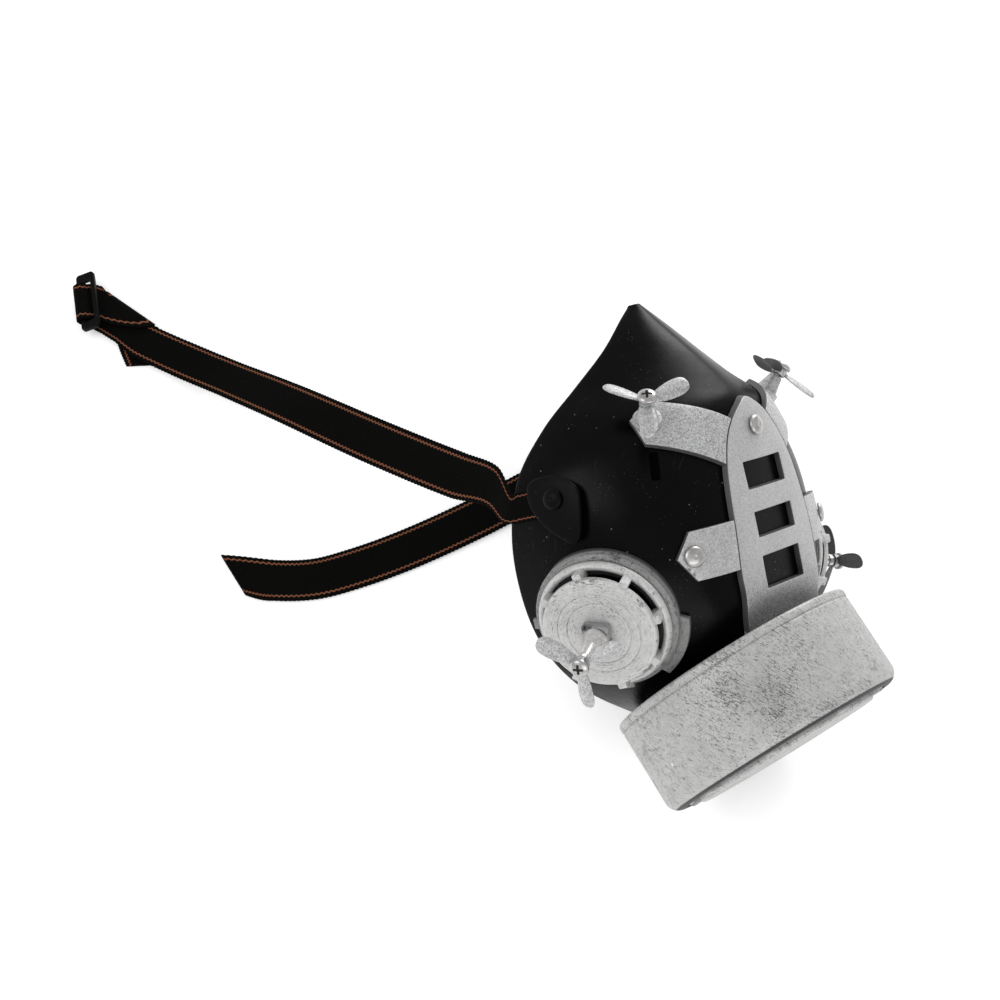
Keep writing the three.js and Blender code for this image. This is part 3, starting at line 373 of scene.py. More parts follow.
# Heights on a canister's axis
CAP_LOW = CANISTER_BASE_HEIGHT + GAP
BOSS_LOW = CAP_LOW + DISC_RISE + GAP
SPIKE_LOW = BOSS_LOW + BOSS_HEIGHT + GAP
NUT_LOW = SPIKE_LOW + SPIKE_LENGTH + GAP
HUB_LOW = NUT_LOW + NUT_HEIGHT + RUNNING_GAP
BORE = SHANK_RADIUS + GAP

# Mesh bodies: each is a pair of points and faces


def grid_faces(rows, columns, close_rows=False, close_columns=False):
    faces = []
    for i in range(rows if close_rows else rows - 1):
        below = (i + 1) % rows
        for j in range(columns if close_columns else columns - 1):
            beside = (j + 1) % columns
            faces.append((i * columns + j, i * columns + beside,
                          below * columns + beside, below * columns + j))
    return faces


def bent(start, middle, end, share):
    """A point of the curve from start to end that leans towards middle."""
    return (1 - share) ** 2 * start + 2 * share * (1 - share) * middle + share**2 * end


def between(a, b, c, d, share):
    """A point of the smooth curve through a, b, c and d, at a share of the way from b to c."""
    return 0.5 * (2 * b + (c - a) * share + (2 * a - 5 * b + 4 * c - d) * share**2
                  + (3 * b - a - 3 * c + d) * share**3)


def moved(matrix, *bodies):
    return [(placed(matrix, points), faces) for points, faces in bodies]


def eased(path, radius, steps=3, closed=False):
    """A path of 2D points with its corners rounded."""
    path = [np.array(point, float) for point in path]
    count = len(path)
    made = []
    for i, corner in enumerate(path):
        if not closed and i in (0, count - 1):
            made.append(corner)
            continue
        before, after = path[i - 1] - corner, path[(i + 1) % count] - corner
        long_before, long_after = np.linalg.norm(before), np.linalg.norm(after)
        straight = -(before @ after) / (long_before * long_after)
        if straight > 0.99:
            made.append(corner)
            continue
        reach = min(radius, 0.45 * long_before, 0.45 * long_after)
        start, end = corner + before / long_before * reach, corner + after / long_after * reach
        for share in np.linspace(0, 1, steps + 1):
            made.append(bent(start, corner, end, share))
    return made


def lathe(profile, segments, closed=False):
    """A body turned about Z from a profile of radius and height."""
    angles = np.linspace(0, 2 * math.pi, segments, endpoint=False)
    points, rows = [], []
    for radius, height in profile:
        if radius < 1e-6:
            rows.append([len(points)])
            points.append((0, 0, height))
        else:
            rows.append(list(range(len(points), len(points) + segments)))
            points.extend((radius * math.cos(a), radius * math.sin(a), height) for a in angles)
    faces = []
    pairs = list(zip(rows, rows[1:])) + ([(rows[-1], rows[0])] if closed else [])
    for low, high in pairs:
        for j in range(segments):
            k = (j + 1) % segments
            if len(low) == 1 and len(high) == 1:
                continue
            if len(low) == 1:
                faces.append((low[0], high[k], high[j]))
            elif len(high) == 1:
                faces.append((low[j], low[k], high[0]))
            else:
                faces.append((low[j], low[k], high[k], high[j]))
    return np.array(points, float), faces


def rounded_box(size, centre, radius, steps=2):
    """A box with rounded edges."""
    made = bmesh.new()
    bmesh.ops.create_cube(made, size=1)
    for vert in made.verts:
        vert.co = Vector([c * s for c, s in zip(vert.co, size)]) + Vector(centre)
    bmesh.ops.bevel(made, geom=list(made.edges), offset=radius, segments=steps, profile=0.5,
                    affect="EDGES", clamp_overlap=True)
    made.verts.index_update()
    points = np.array([vert.co for vert in made.verts])
    faces = [tuple(vert.index for vert in face.verts) for face in made.faces]
    made.free()
    return points, faces


def extruded(path, low, high, edge=0.0, steps=2):
    """A plain solid from a 2D outline between two heights, with eased rims."""
    path = np.array(path, float)
    levels = [(low, edge), (low + edge, 0), (high - edge, 0)]
    for step in range(1, steps + 1):
        angle = step / steps * math.pi / 2
        levels.append((high - edge + edge * math.sin(angle), edge * (1 - math.cos(angle))))
    if edge == 0:
        levels = [(low, 0), (high, 0)]
    rows = [np.column_stack([inset(path, into), np.full(len(path), height)])
            for height, into in levels]
    points = np.vstack(rows)
    count = len(path)
    faces = grid_faces(len(rows), count, close_columns=True)
    faces.append(tuple(range(count))[::-1])
    faces.append(tuple(range(len(points) - count, len(points))))
    return points, faces


def inset(path, distance):
    """A closed outline, anticlockwise, moved inwards."""
    if distance == 0:
        return path
    before, after = np.roll(path, 1, 0), np.roll(path, -1, 0)
    along_in, along_out = path - before, after - path
    along_in /= np.linalg.norm(along_in, axis=1, keepdims=True)
    along_out /= np.linalg.norm(along_out, axis=1, keepdims=True)
    normal_in = np.column_stack([-along_in[:, 1], along_in[:, 0]])
    normal_out = np.column_stack([-along_out[:, 1], along_out[:, 0]])
    middle = normal_in + normal_out
    middle /= np.linalg.norm(middle, axis=1, keepdims=True)
    stretch = np.maximum((middle * normal_in).sum(1, keepdims=True), 0.5)
    return path + middle / stretch * distance


def densified(path, step):
    """A closed outline with no side longer than step."""
    path = np.array(path, float)
    made = []
    for start, end in zip(path, np.roll(path, -1, 0)):
        parts = max(1, math.ceil(np.linalg.norm(end - start) / step))
        made.extend(start + (end - start) * i / parts for i in range(parts))
    return np.array(made)


def inside(path, points):
    """Which points lie within a closed outline."""
    x, y = points[:, 0:1], points[:, 1:2]
    ax, ay = path[:, 0], path[:, 1]
    bx, by = np.roll(ax, -1), np.roll(ay, -1)
    crosses = (ay > y) != (by > y)
    with np.errstate(divide="ignore", invalid="ignore"):
        where = (bx - ax) * (y - ay) / (by - ay) + ax
    return (np.sum(crosses & (x < where), 1) % 2) == 1


def edge_distance(path, points):
    """How far points lie from a closed outline."""
    start = path[None]
    along = np.roll(path, -1, 0)[None] - start
    away = points[:, None] - start
    share = np.clip((away * along).sum(2) / np.maximum((along**2).sum(2), 1e-12), 0, 1)
    return np.linalg.norm(away - along * share[..., None], axis=2).min(1)


def tiled(rings, step):
    """Triangles over the first ring, outside the others. Returns the extra points and the faces,
    numbered through the rings first."""
    outer = rings[0]
    low, high = outer.min(0), outer.max(0)
    grid = np.stack(np.meshgrid(np.arange(low[0], high[0], step), np.arange(low[1], high[1], step)),
                    -1).reshape(-1, 2)
    grid = grid[inside(outer, grid)]
    for ring in rings:
        grid = grid[edge_distance(ring, grid) > 0.6 * step]
    for hole in rings[1:]:
        grid = grid[~inside(hole, grid)]
    points = np.vstack(rings + [grid])
    edges, start = [], 0
    for ring in rings:
        count = len(ring)
        edges.extend((start + i, start + (i + 1) % count) for i in range(count))
        start += count
    made, _, triangles, sources, _, _ = delaunay_2d_cdt(
        [Vector(p) for p in points], edges, [], 0, 1e-6, True)
    number = [source[0] for source in sources]
    faces = np.array([[number[i] for i in triangle] for triangle in triangles])
    middles = points[faces].mean(1)
    kept = inside(outer, middles)
    for hole in rings[1:]:
        kept &= ~inside(hole, middles)
    return grid, faces[kept]


def skin_sheet(tops, bottoms, matrix, low, high, edge, step=1.3, above=60):
    """A sheet that follows the skin between two offsets, inside outlines in a frame. tops and
    bottoms hold the outline and then its holes, at the upper and lower offset. edge rounds the
    upper rim."""
    axis = matrix[:3, 2]

    def surface(flat, offset):
        start = placed(matrix, np.column_stack([flat, np.full(len(flat), above)]))
        return dropped(start, -axis, offset)

    counts = [len(ring) for ring in tops]
    total = sum(counts)
    points, faces = [], []

    def ring_faces(first, second):
        start = 0
        for count in counts:
            for i in range(count):
                j = (i + 1) % count
                faces.append((first + start + i, first + start + j,
                              second + start + j, second + start + i))
            start += count

    def signed(rings, distance):
        return [inset(ring, distance if i == 0 else -distance) for i, ring in enumerate(rings)]

    rounding = edge / (high - low)
    levels = [(0.0, 0.0), (0.5, 0.0), (1 - rounding, 0.0)]
    steps = 3
    for i in range(1, steps + 1):
        angle = i / steps * math.pi / 2
        levels.append((1 - rounding * (1 - math.sin(angle)), edge * (1 - math.cos(angle))))
    for share, into in levels:
        under = surface(np.vstack(signed(bottoms, into)), low)
        over = surface(np.vstack(signed(tops, into)), high)
        points.append(under + (over - under) * share)
    for i in range(len(levels) - 1):
        ring_faces(i * total, (i + 1) * total)
    for rings, offset, base, flip in (
        (signed(tops, edge), high, (len(levels) - 1) * total, False),
        (bottoms, low, 0, True),
    ):
        grid, triangles = tiled(rings, step if not flip else 3 * step)
        start = sum(len(p) for p in points)
        points.append(surface(grid, offset) if len(grid) else np.zeros((0, 3)))
        numbered = np.where(triangles < total, triangles + base, triangles - total + start)
        faces.extend(tuple(t[::-1]) if flip else tuple(t) for t in numbered.tolist())
    return np.vstack(points), faces


def smooth_path(points, each):
    """A closed outline through points, with rounded sides."""
    points = np.array(points, float)
    made = []
    count = len(points)
    for i in range(count):
        corners = [points[(i + k) % count] for k in (-1, 0, 1, 2)]
        made.extend(between(*corners, share) for share in np.arange(each) / each)
    return np.array(made)


# Objects


def raw_object(name, points, faces):
    mesh = bpy.data.meshes.new(name)
    mesh.from_pydata(np.asarray(points).tolist(), [], [tuple(f) for f in faces])
    made = bmesh.new()
    made.from_mesh(mesh)
    bmesh.ops.recalc_face_normals(made, faces=made.faces)
    made.to_mesh(mesh)
    made.free()
    found = bpy.data.objects.new(name, mesh)
    bpy.context.scene.collection.objects.link(found)
    return found


def combined(base, tools, operation):
    """The base object's mesh joined with or cut by the tools, which are used up."""
    for tool in tools:
        step = base.modifiers.new("combine", "BOOLEAN")
        step.operation = operation
        step.solver = "EXACT"
        step.object = tool
    graph = bpy.context.evaluated_depsgraph_get()
    mesh = bpy.data.meshes.new_from_object(base.evaluated_get(graph))
    base.modifiers.clear()
    old, base.data = base.data, mesh
    bpy.data.meshes.remove(old)
    for tool in tools:
        spent = tool.data
        bpy.data.objects.remove(tool)
        bpy.data.meshes.remove(spent)
    return base


def write_attribute(mesh, name, kind, values):
    made = mesh.attributes.new(name, kind, "POINT")
    field = "vector" if kind == "FLOAT_VECTOR" else "value"
    made.data.foreach_set(field, np.asarray(values, np.float32).ravel())


def make(name, bodies, finish, local=None, cuts=(), body="mask", on_floor=False,
         values=None, sharp=38):
    """One piece of the mask from closed bodies. It takes the place of the CAD node of its name.
    local is the frame whose coordinates its material follows."""
    base = raw_object(name, *bodies[0])
    if len(bodies) > 1:
        base = combined(base, [raw_object(name + "_join", *b) for b in bodies[1:]], "UNION")
    if cuts:
        base = combined(base, [raw_object(name + "_cut", *b) for b in cuts], "DIFFERENCE")
    base.name = name + "_dressed"
    mesh = base.data
    mesh.name = base.name
    points = np.empty(3 * len(mesh.vertices))
    mesh.vertices.foreach_get("co", points)
    points = points.reshape(-1, 3)
    if values is None:
        values = {"place": in_frame(np.eye(4) if local is None else local, points)}
    for key, numbers in values.items():
        numbers = numbers(points) if callable(numbers) else numbers
        write_attribute(mesh, key, "FLOAT_VECTOR" if np.ndim(numbers) == 2 else "FLOAT", numbers)
    if not on_floor:
        points = placed(WORN_TO_FLOOR, points)
    mesh.vertices.foreach_set("co", (points / METRE).ravel())
    mesh.materials.clear()
    mesh.materials.append(finish)
    mesh.polygons.foreach_set("material_index", [0] * len(mesh.polygons))
    mesh.update()
    mesh.shade_smooth()
    mesh.set_sharp_from_angle(angle=math.radians(sharp))
    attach(base, body)
    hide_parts(name)
    return base


# Shader expressions


class Term:
    """A socket of a material. Arithmetic on it adds the Math nodes."""

    def __init__(self, nodes, socket):
        self.nodes = nodes
        self.socket = socket

    def math(self, operation, *sockets):
        return self.nodes.add("ShaderNodeMath", {"operation": operation}, dict(enumerate(sockets)))

    def __add__(self, other):
        return self.math("ADD", self, other)

    __radd__ = __add__

    def __sub__(self, other):
        return self.math("SUBTRACT", self, other)

    def __rsub__(self, other):
        return self.math("SUBTRACT", other, self)

    def __mul__(self, other):
        return self.math("MULTIPLY", self, other)

    __rmul__ = __mul__

    def __truediv__(self, other):
        return self.math("DIVIDE", self, other)

    def __pow__(self, other):
        return self.math("POWER", self, other)

    def __abs__(self):
        return self.math("ABSOLUTE", self)

    def clamped(self):
        return self.math("MINIMUM", self.math("MAXIMUM", self, 0.0), 1.0)

    def eased(self, low, high, start=0.0, end=1.0):
        """A smooth step from start, at low, to end, at high."""
        return self.nodes.add(
            "ShaderNodeMapRange",
            {"interpolation_type": "SMOOTHSTEP"},
            {"Value": self, "From Min": low, "From Max": high, "To Min": start, "To Max": end},
        )


class Finish:
    """A material and the nodes that make it."""

    def __init__(self, name):
        self.material = bpy.data.materials.new(name)
        self.material.use_nodes = True
        self.tree = self.material.node_tree
        self.tree.nodes.clear()

    def add(self, kind, settings, sockets, output=0):
        """One node: its settings first, then its sockets by name or number."""
        node = self.tree.nodes.new(kind)
        for key, value in settings.items():
            setattr(node, key, value)
        for key, value in sockets.items():
            if isinstance(value, Term):
                self.tree.links.new(value.socket, node.inputs[key])
            else:
                node.inputs[key].default_value = value
        return Term(self, node.outputs[output]) if len(node.outputs) else None

    def attribute(self, name, output=1):
        return self.add("ShaderNodeAttribute", {"attribute_name": name}, {}, output)

    def noise(self, place, scale, detail=3.0, roughness=0.55, distortion=0.0):
        return self.add("ShaderNodeTexNoise", {}, {
            "Vector": place, "Scale": scale, "Detail": detail, "Roughness": roughness,
            "Distortion": distortion})

    def cells(self, place, scale, output="Distance"):
        return self.add("ShaderNodeTexVoronoi", {}, {"Vector": place, "Scale": scale}, output)

    def stretched(self, place, scale=(1, 1, 1), turn=(0, 0, 0), shift=(0, 0, 0)):
        return self.add("ShaderNodeMapping", {}, {
            "Vector": place, "Scale": scale, "Rotation": tuple(map(math.radians, turn)),
            "Location": shift})

    def parts(self, vector):
        first = self.add("ShaderNodeSeparateXYZ", {}, {0: vector})
        node = first.socket.node
        return first, Term(self, node.outputs[1]), Term(self, node.outputs[2])

    def together(self, x, y, z):
        return self.add("ShaderNodeCombineXYZ", {}, {0: x, 1: y, 2: z})

    def mixed(self, share, first, second):
        """A colour between two colours."""
        return self.add("ShaderNodeMix", {"data_type": "RGBA"}, {0: share, 6: first, 7: second}, 2)

    def bump(self, height, strength, distance):
        return self.add("ShaderNodeBump", {}, {
            "Height": height, "Strength": strength, "Distance": distance})

    def shaded(self, **sockets):
        """The finished material, from the shader's sockets."""
        shader = self.add("ShaderNodeBsdfPrincipled", {},
                          {key.replace("_", " "): value for key, value in sockets.items()})
        self.add("ShaderNodeOutputMaterial", {}, {"Surface": shader})
        return self.material


def grey(value):
    return (value, value, value, 1.0)


def scaled(colour, factor):
    return (colour[0] * factor, colour[1] * factor, colour[2] * factor, 1.0)


MILLIMETRE = 1 / METRE


def black_shell_finish(colours, sizes):
    """Semi-gloss black moulding with a soft texture, dust and hair scratches, and painted shade,
    near black and rough, in its slots.
    """
    f = Finish("black_moulding")
    place = f.attribute("place")
    clouds = f.noise(place, 0.035, 3.0)
    soft = f.noise(place, 0.3, 4.0, 0.6)
    pores = f.noise(place, 2.4, 3.0, 0.6)
    dust = f.cells(place, 0.33).eased(0.1, 0.06) * f.noise(place, 0.21, 1.0).eased(0.55, 0.6)
    fine_dust = (f.cells(f.stretched(place, shift=(31, 7, 3)), 0.9).eased(0.13, 0.07)
                 * f.noise(place, 0.075, 3.0, 0.6).eased(0.52, 0.68))
    hairs = f.noise(f.stretched(place, (0.12, 2.2, 0.12), (25, 10, 35)), 1.0, 2.0, 0.5, 0.6)
    scratch = hairs.eased(0.66, 0.71) * clouds.eased(0.5, 0.58)
    light = ((dust * 0.6 + fine_dust * 0.5) * sizes.dust + scratch * 0.06).clamped()
    colour = f.mixed(clouds.eased(0.35, 0.7), scaled(colours.black, 0.8),
                     scaled(colours.black, 1.25))
    colour = f.mixed(light, colour, grey(0.26))
    # Painted shade: the slots' walls and bottoms are painted near black and made rough.
    hollow = f.attribute("shadow", 2)
    colour = f.mixed(hollow, colour, grey(0.0002))
    rough = 0.2 + 0.1 * soft + 0.12 * clouds.eased(0.4, 0.65) + light * 0.3 + hollow * 0.7
    height = pores * 0.3 + soft * 0.8 - scratch * 0.3 + dust * 0.5
    return f.shaded(
        Base_Color=colour, Roughness=rough, Specular_IOR_Level=0.07,
        Normal=f.bump(height, 0.2, 0.35 * MILLIMETRE))


def black_trim_finish(colours, sizes):
    """Satin black moulding of the strap tabs, rivets and slider."""
    f = Finish("satin_black")
    place = f.attribute("place")
    soft = f.noise(place, 0.7, 4.0, 0.6)
    pores = f.noise(place, 4.0, 2.0)
    dust = f.cells(place, 0.5).eased(0.1, 0.06) * f.noise(place, 0.3, 1.0).eased(0.52, 0.6)
    colour = f.mixed((dust * 0.5 * sizes.dust).clamped(), scaled(colours.black, 1.3), grey(0.2))
    return f.shaded(
        Base_Color=colour, Roughness=0.3 + 0.16 * soft, Specular_IOR_Level=0.07,
        Normal=f.bump(pores + soft, 0.15, 0.2 * MILLIMETRE))


def silver_paint_finish(colours, sizes):
    """Silver paint with a fine sparkling grain, dark walls and painted shade towards the drum."""
    f = Finish("grained_silver")
    place = f.attribute("place")
    wall = f.attribute("rim", 2).eased(0.16, 0.03)
    flake = f.parts(f.cells(place, 2.9 / sizes.grain, "Color"))[0]
    fine = f.noise(place, 2.1 / sizes.grain, 4.0, 0.75)
    broad = f.noise(place, 0.07, 3.0)
    below = f.attribute("below", 2)
    # below is painted shade towards the drum; it also makes the grain coarser there.
    deep = f.attribute("coarse", 2) + below * 1.3
    shade = (0.7 + (0.62 * (flake - 0.5) + 0.95 * (fine - 0.5)) * deep
             + 0.2 * (broad - 0.5)).clamped()
    colour = f.mixed(shade, scaled(colours.silver, 0.22), scaled(colours.silver, 1.5))
    # The side walls of the sheets are darker.
    wall_darkening = (wall * (0.75 + 0.5 * fine)).clamped()
    # The walls darken, and below adds painted shade towards the drum.
    colour = f.mixed((wall_darkening * 0.92 + below * 0.5).clamped(), colour, scaled(colours.silver, 0.09))
    return f.shaded(
        Base_Color=colour, Metallic=0.5 - 0.4 * wall, Roughness=0.4 + 0.2 * fine,
        Normal=f.bump(fine + flake * 0.6, 0.4, 0.16 * MILLIMETRE))


def plain_silver_finish(colours, sizes):
    """The same paint on small pieces, rubbed and stained, with painted shade on the backs of blades.
    """
    f = Finish("small_silver")
    place = f.attribute("place")
    flake = f.parts(f.cells(place, 2.2 / sizes.grain, "Color"))[0]
    fine = f.noise(place, 1.6 / sizes.grain, 4.0, 0.75)
    stain = f.noise(place, 0.35, 4.0, 0.7)
    specks = f.noise(f.stretched(place, shift=(9, 4, 2)), 1.9, 5.0, 0.75).eased(0.56, 0.63)
    shade = (0.72 + 0.55 * (flake - 0.5) + 0.8 * (fine - 0.5)).clamped()
    colour = f.mixed(shade, scaled(colours.silver, 0.25), scaled(colours.silver, 1.5))
    colour = f.mixed((specks * stain.eased(0.36, 0.56) * 0.85 * sizes.wear).clamped(), colour,
                     grey(0.03))
    # Painted shade on the backs of the blades, from the shadow attribute.
    colour = f.mixed(f.attribute("shadow", 2) * (0.65 + 0.5 * (1 - fine)), colour,
                     scaled(colours.dark_metal, 0.4))
    return f.shaded(
        Base_Color=colour, Metallic=0.55, Roughness=0.34 + 0.2 * fine,
        Normal=f.bump(fine + flake * 0.5 - specks * 0.6, 0.4, 0.14 * MILLIMETRE))


def worn_silver_finish(colours, sizes, name, reach, slant, tone=1.0, smudges=(), nicks=(),
                       wear=0.0):
    """Silver paint on turned bodies, dry-brushed with black specks and scratches, and painted
    shade, near black, in recesses. Scratches lean by slant degrees from round the axis, at the
    radius reach. smudges and nicks hold a centre and a radius."""
    f = Finish(name)
    place = f.attribute("place")
    x, y, z = f.parts(place)
    radius = (x * x + y * y) ** 0.5
    arc = f.add("ShaderNodeMath", {"operation": "ARCTAN2"}, {0: y, 1: x}) * reach
    rise = z * 0.9 + radius * 1.1
    lean = math.radians(slant)
    along = arc * math.cos(lean) + rise * math.sin(lean)
    across = rise * math.cos(lean) - arc * math.sin(lean)

    def near(spots):
        found = None
        for centre, size in spots:
            away = f.add("ShaderNodeVectorMath", {"operation": "DISTANCE"},
                         {0: place, 1: centre}, 1)
            spot = away.eased(size, size * 0.25)
            found = spot if found is None else found + spot
        return 0.0 if found is None else found

    patches = f.noise(place, 0.055, 3.0, 0.62)
    smudge = near(smudges)
    bias = 0.15 * (patches - 0.5) + 0.032 * smudge + sizes.wear * 0.05 + wear
    groups = f.noise(place, 0.2, 3.0, 0.6)
    specks = (f.noise(place, 1.6, 6.0, 0.78, 0.3) + bias).eased(0.615, 0.66)
    strokes = f.noise(f.together(along * 0.5, across * 2.6, z * 0.1), 1.0, 5.0, 0.7, 0.5)
    scratches = (strokes + bias + 0.25 * (groups - 0.5)).eased(0.6, 0.66)
    haze = f.noise(place, 0.5, 6.0, 0.75)
    brushed = f.noise(f.together(along * 0.25, across * 1.4, 3.0), 1.0, 4.0, 0.7)
    shade = (0.6 + 0.75 * (haze - 0.5) + 0.35 * (patches - 0.5) + 0.6 * (brushed - 0.5)
             - smudge * 0.13).clamped()
    colour = f.mixed(shade, scaled(colours.worn_silver, 0.5 * tone),
                     scaled(colours.worn_silver, 1.25 * tone))
    dark = (specks * 0.7 + scratches * 0.62).clamped()
    colour = f.mixed(dark, colour, grey(0.03))
    colour = f.mixed(near(nicks), colour, grey(0.85))
    # Painted shade in recesses, from the shadow attribute.
    colour = f.mixed(f.attribute("shadow", 2), colour, grey(0.008))
    return f.shaded(
        Base_Color=colour, Metallic=0.4 - 0.35 * dark, Roughness=0.42 + 0.22 * haze + 0.12 * dark,
        Normal=f.bump(haze * 0.6 + brushed * 0.7 - dark * 0.8, 0.35, 0.2 * MILLIMETRE))


def bright_metal_finish(colours, sizes, name="polished_metal", tone=1.0):
    """Polished metal, a little stained, with painted shade, near black, in its recesses."""
    f = Finish(name)
    place = f.attribute("place")
    stain = f.noise(place, 0.5, 4.0, 0.6)
    fine = f.noise(place, 3.0, 3.0, 0.6)
    dirt = f.noise(f.stretched(place, shift=(3, 8, 5)), 1.3, 5.0, 0.7).eased(0.6, 0.7) * sizes.wear
    # Dirt, and painted shade in recesses from the shadow attribute.
    dark = (dirt * 0.6 + f.attribute("shadow", 2)).clamped()
    colour = f.mixed(stain.eased(0.3, 0.7), scaled(colours.bright, 0.8 * tone),
                     scaled(colours.bright, 1.1 * tone))
    colour = f.mixed(dark, colour, grey(0.02))
    return f.shaded(
        Base_Color=colour, Metallic=1.0 - 0.9 * dark, Roughness=0.27 + 0.16 * stain + 0.3 * dark,
        Normal=f.bump(fine * 0.4 + stain, 0.1, 0.1 * MILLIMETRE))


def dark_metal_finish(colours, sizes):
    """Dark grey metal under rubbed silver."""
    f = Finish("rubbed_dark_metal")
    place = f.attribute("place")
    stain = f.noise(place, 0.9, 5.0, 0.7)
    rubbed = f.noise(place, 0.4, 5.0, 0.7, 0.5).eased(0.34, 0.5)
    colour = f.mixed(rubbed, scaled(colours.dark_metal, 1.0), scaled(colours.silver, 0.8))
    return f.shaded(
        Base_Color=colour, Metallic=0.5, Roughness=0.38 + 0.2 * stain,
        Normal=f.bump(stain, 0.3, 0.2 * MILLIMETRE))


def elastic_finish(colours, sizes):
    """Black woven elastic. Copper zigzag threads run along both edges. The weave follows the
    strap: X runs along it and Y across it."""
    f = Finish("woven_elastic")
    along, across, _ = f.parts(f.attribute("place"))
    wale = 0.95
    course = 0.62
    ribs = f.add("ShaderNodeMath", {"operation": "SINE"}, {0: across * (2 * math.pi / wale)})
    rows = f.add("ShaderNodeMath", {"operation": "SINE"},
                 {0: along * (2 * math.pi / course) + ribs * 0.9})
    knit = 0.5 + 0.28 * ribs + 0.22 * rows
    fuzz = f.noise(f.together(along * 1.2, across * 4.0, 0.0), 1.0, 3.0, 0.6)
    swing = f.add("ShaderNodeMath", {"operation": "PINGPONG"}, {0: along, 1: sizes.zigzag_pitch / 2})
    line = STRAP_WIDTH / 2 - sizes.stripe_inset * METRE
    zig = abs(abs(across) - line - swing * 0.7 + sizes.zigzag_pitch * 0.175)
    thread = zig.eased(0.42, 0.24)
    twist = f.add("ShaderNodeMath", {"operation": "SINE"},
                  {0: along * (2 * math.pi / 0.55) + across * 5.0})
    copper = f.mixed((0.5 + 0.3 * twist + 0.6 * (fuzz - 0.5)).clamped(),
                     scaled(colours.copper, 0.3), scaled(colours.copper, 1.2))
    black = f.mixed(knit.clamped() * fuzz.eased(0.25, 0.7), scaled(colours.elastic, 0.4),
                    scaled(colours.elastic, 2.0))
    colour = f.mixed(thread, black, copper)
    height = knit * 0.7 + fuzz * 0.25 + thread * (0.7 + 0.25 * twist)
    return f.shaded(
        Base_Color=colour, Roughness=0.86 - 0.12 * thread, Specular_IOR_Level=0.03,
        Normal=f.bump(height, 0.75, 0.22 * MILLIMETRE))


def floor_finish(stage):
    """The pale floor, a little lit from within like a light table."""
    f = Finish("pale_floor")
    place = f.add("ShaderNodeTexCoord", {}, {}, 3)
    grain = f.noise(place, 40.0, 3.0)
    colour = f.mixed(grain, scaled(stage.floor, 0.985), scaled(stage.floor, 1.0))
    return f.shaded(Base_Color=colour, Roughness=0.95, Specular_IOR_Level=0.0,
                    Emission_Color=grey(1.0), Emission_Strength=stage.glow)


# Smudges and nicks on the drum, in its frame.
DRUM_SMUDGES = [((36, 31, -22), 12), ((41, 24, -13), 8)]
DRUM_NICKS = [((46.6, -10.8, -23.1), 0.9)]

FINISHES = {
    "black_moulding": black_shell_finish,
    "satin_black": black_trim_finish,
    "grained_silver": silver_paint_finish,
    "small_silver": plain_silver_finish,
    "drum_silver": lambda colours, sizes: worn_silver_finish(
        colours, sizes, "drum_silver", reach=DRUM_RADIUS, slant=-55, tone=1.1,
        smudges=DRUM_SMUDGES, nicks=DRUM_NICKS),
    "canister_silver": lambda colours, sizes: worn_silver_finish(
        colours, sizes, "canister_silver", reach=15, slant=8, tone=1.3, wear=-0.02),
    "base_silver": lambda colours, sizes: worn_silver_finish(
        colours, sizes, "base_silver", reach=CANISTER_RADIUS, slant=2, tone=0.55),
    "polished_metal": bright_metal_finish,
    # Lighter copy of the polished metal, for spikes and nuts: painted light in place of highlights.
    "spike_metal": lambda colours, sizes: bright_metal_finish(
        colours, sizes, "spike_metal", 1.6),
    "rubbed_dark_metal": dark_metal_finish,
    "woven_elastic": elastic_finish,
}


def finish(context, name):
    """The material of that name, made once."""
    if name not in bpy.data.materials:
        FINISHES[name](context.scene.mask_colours, context.scene.mask_sizes)
    return bpy.data.materials[name]


# Shell


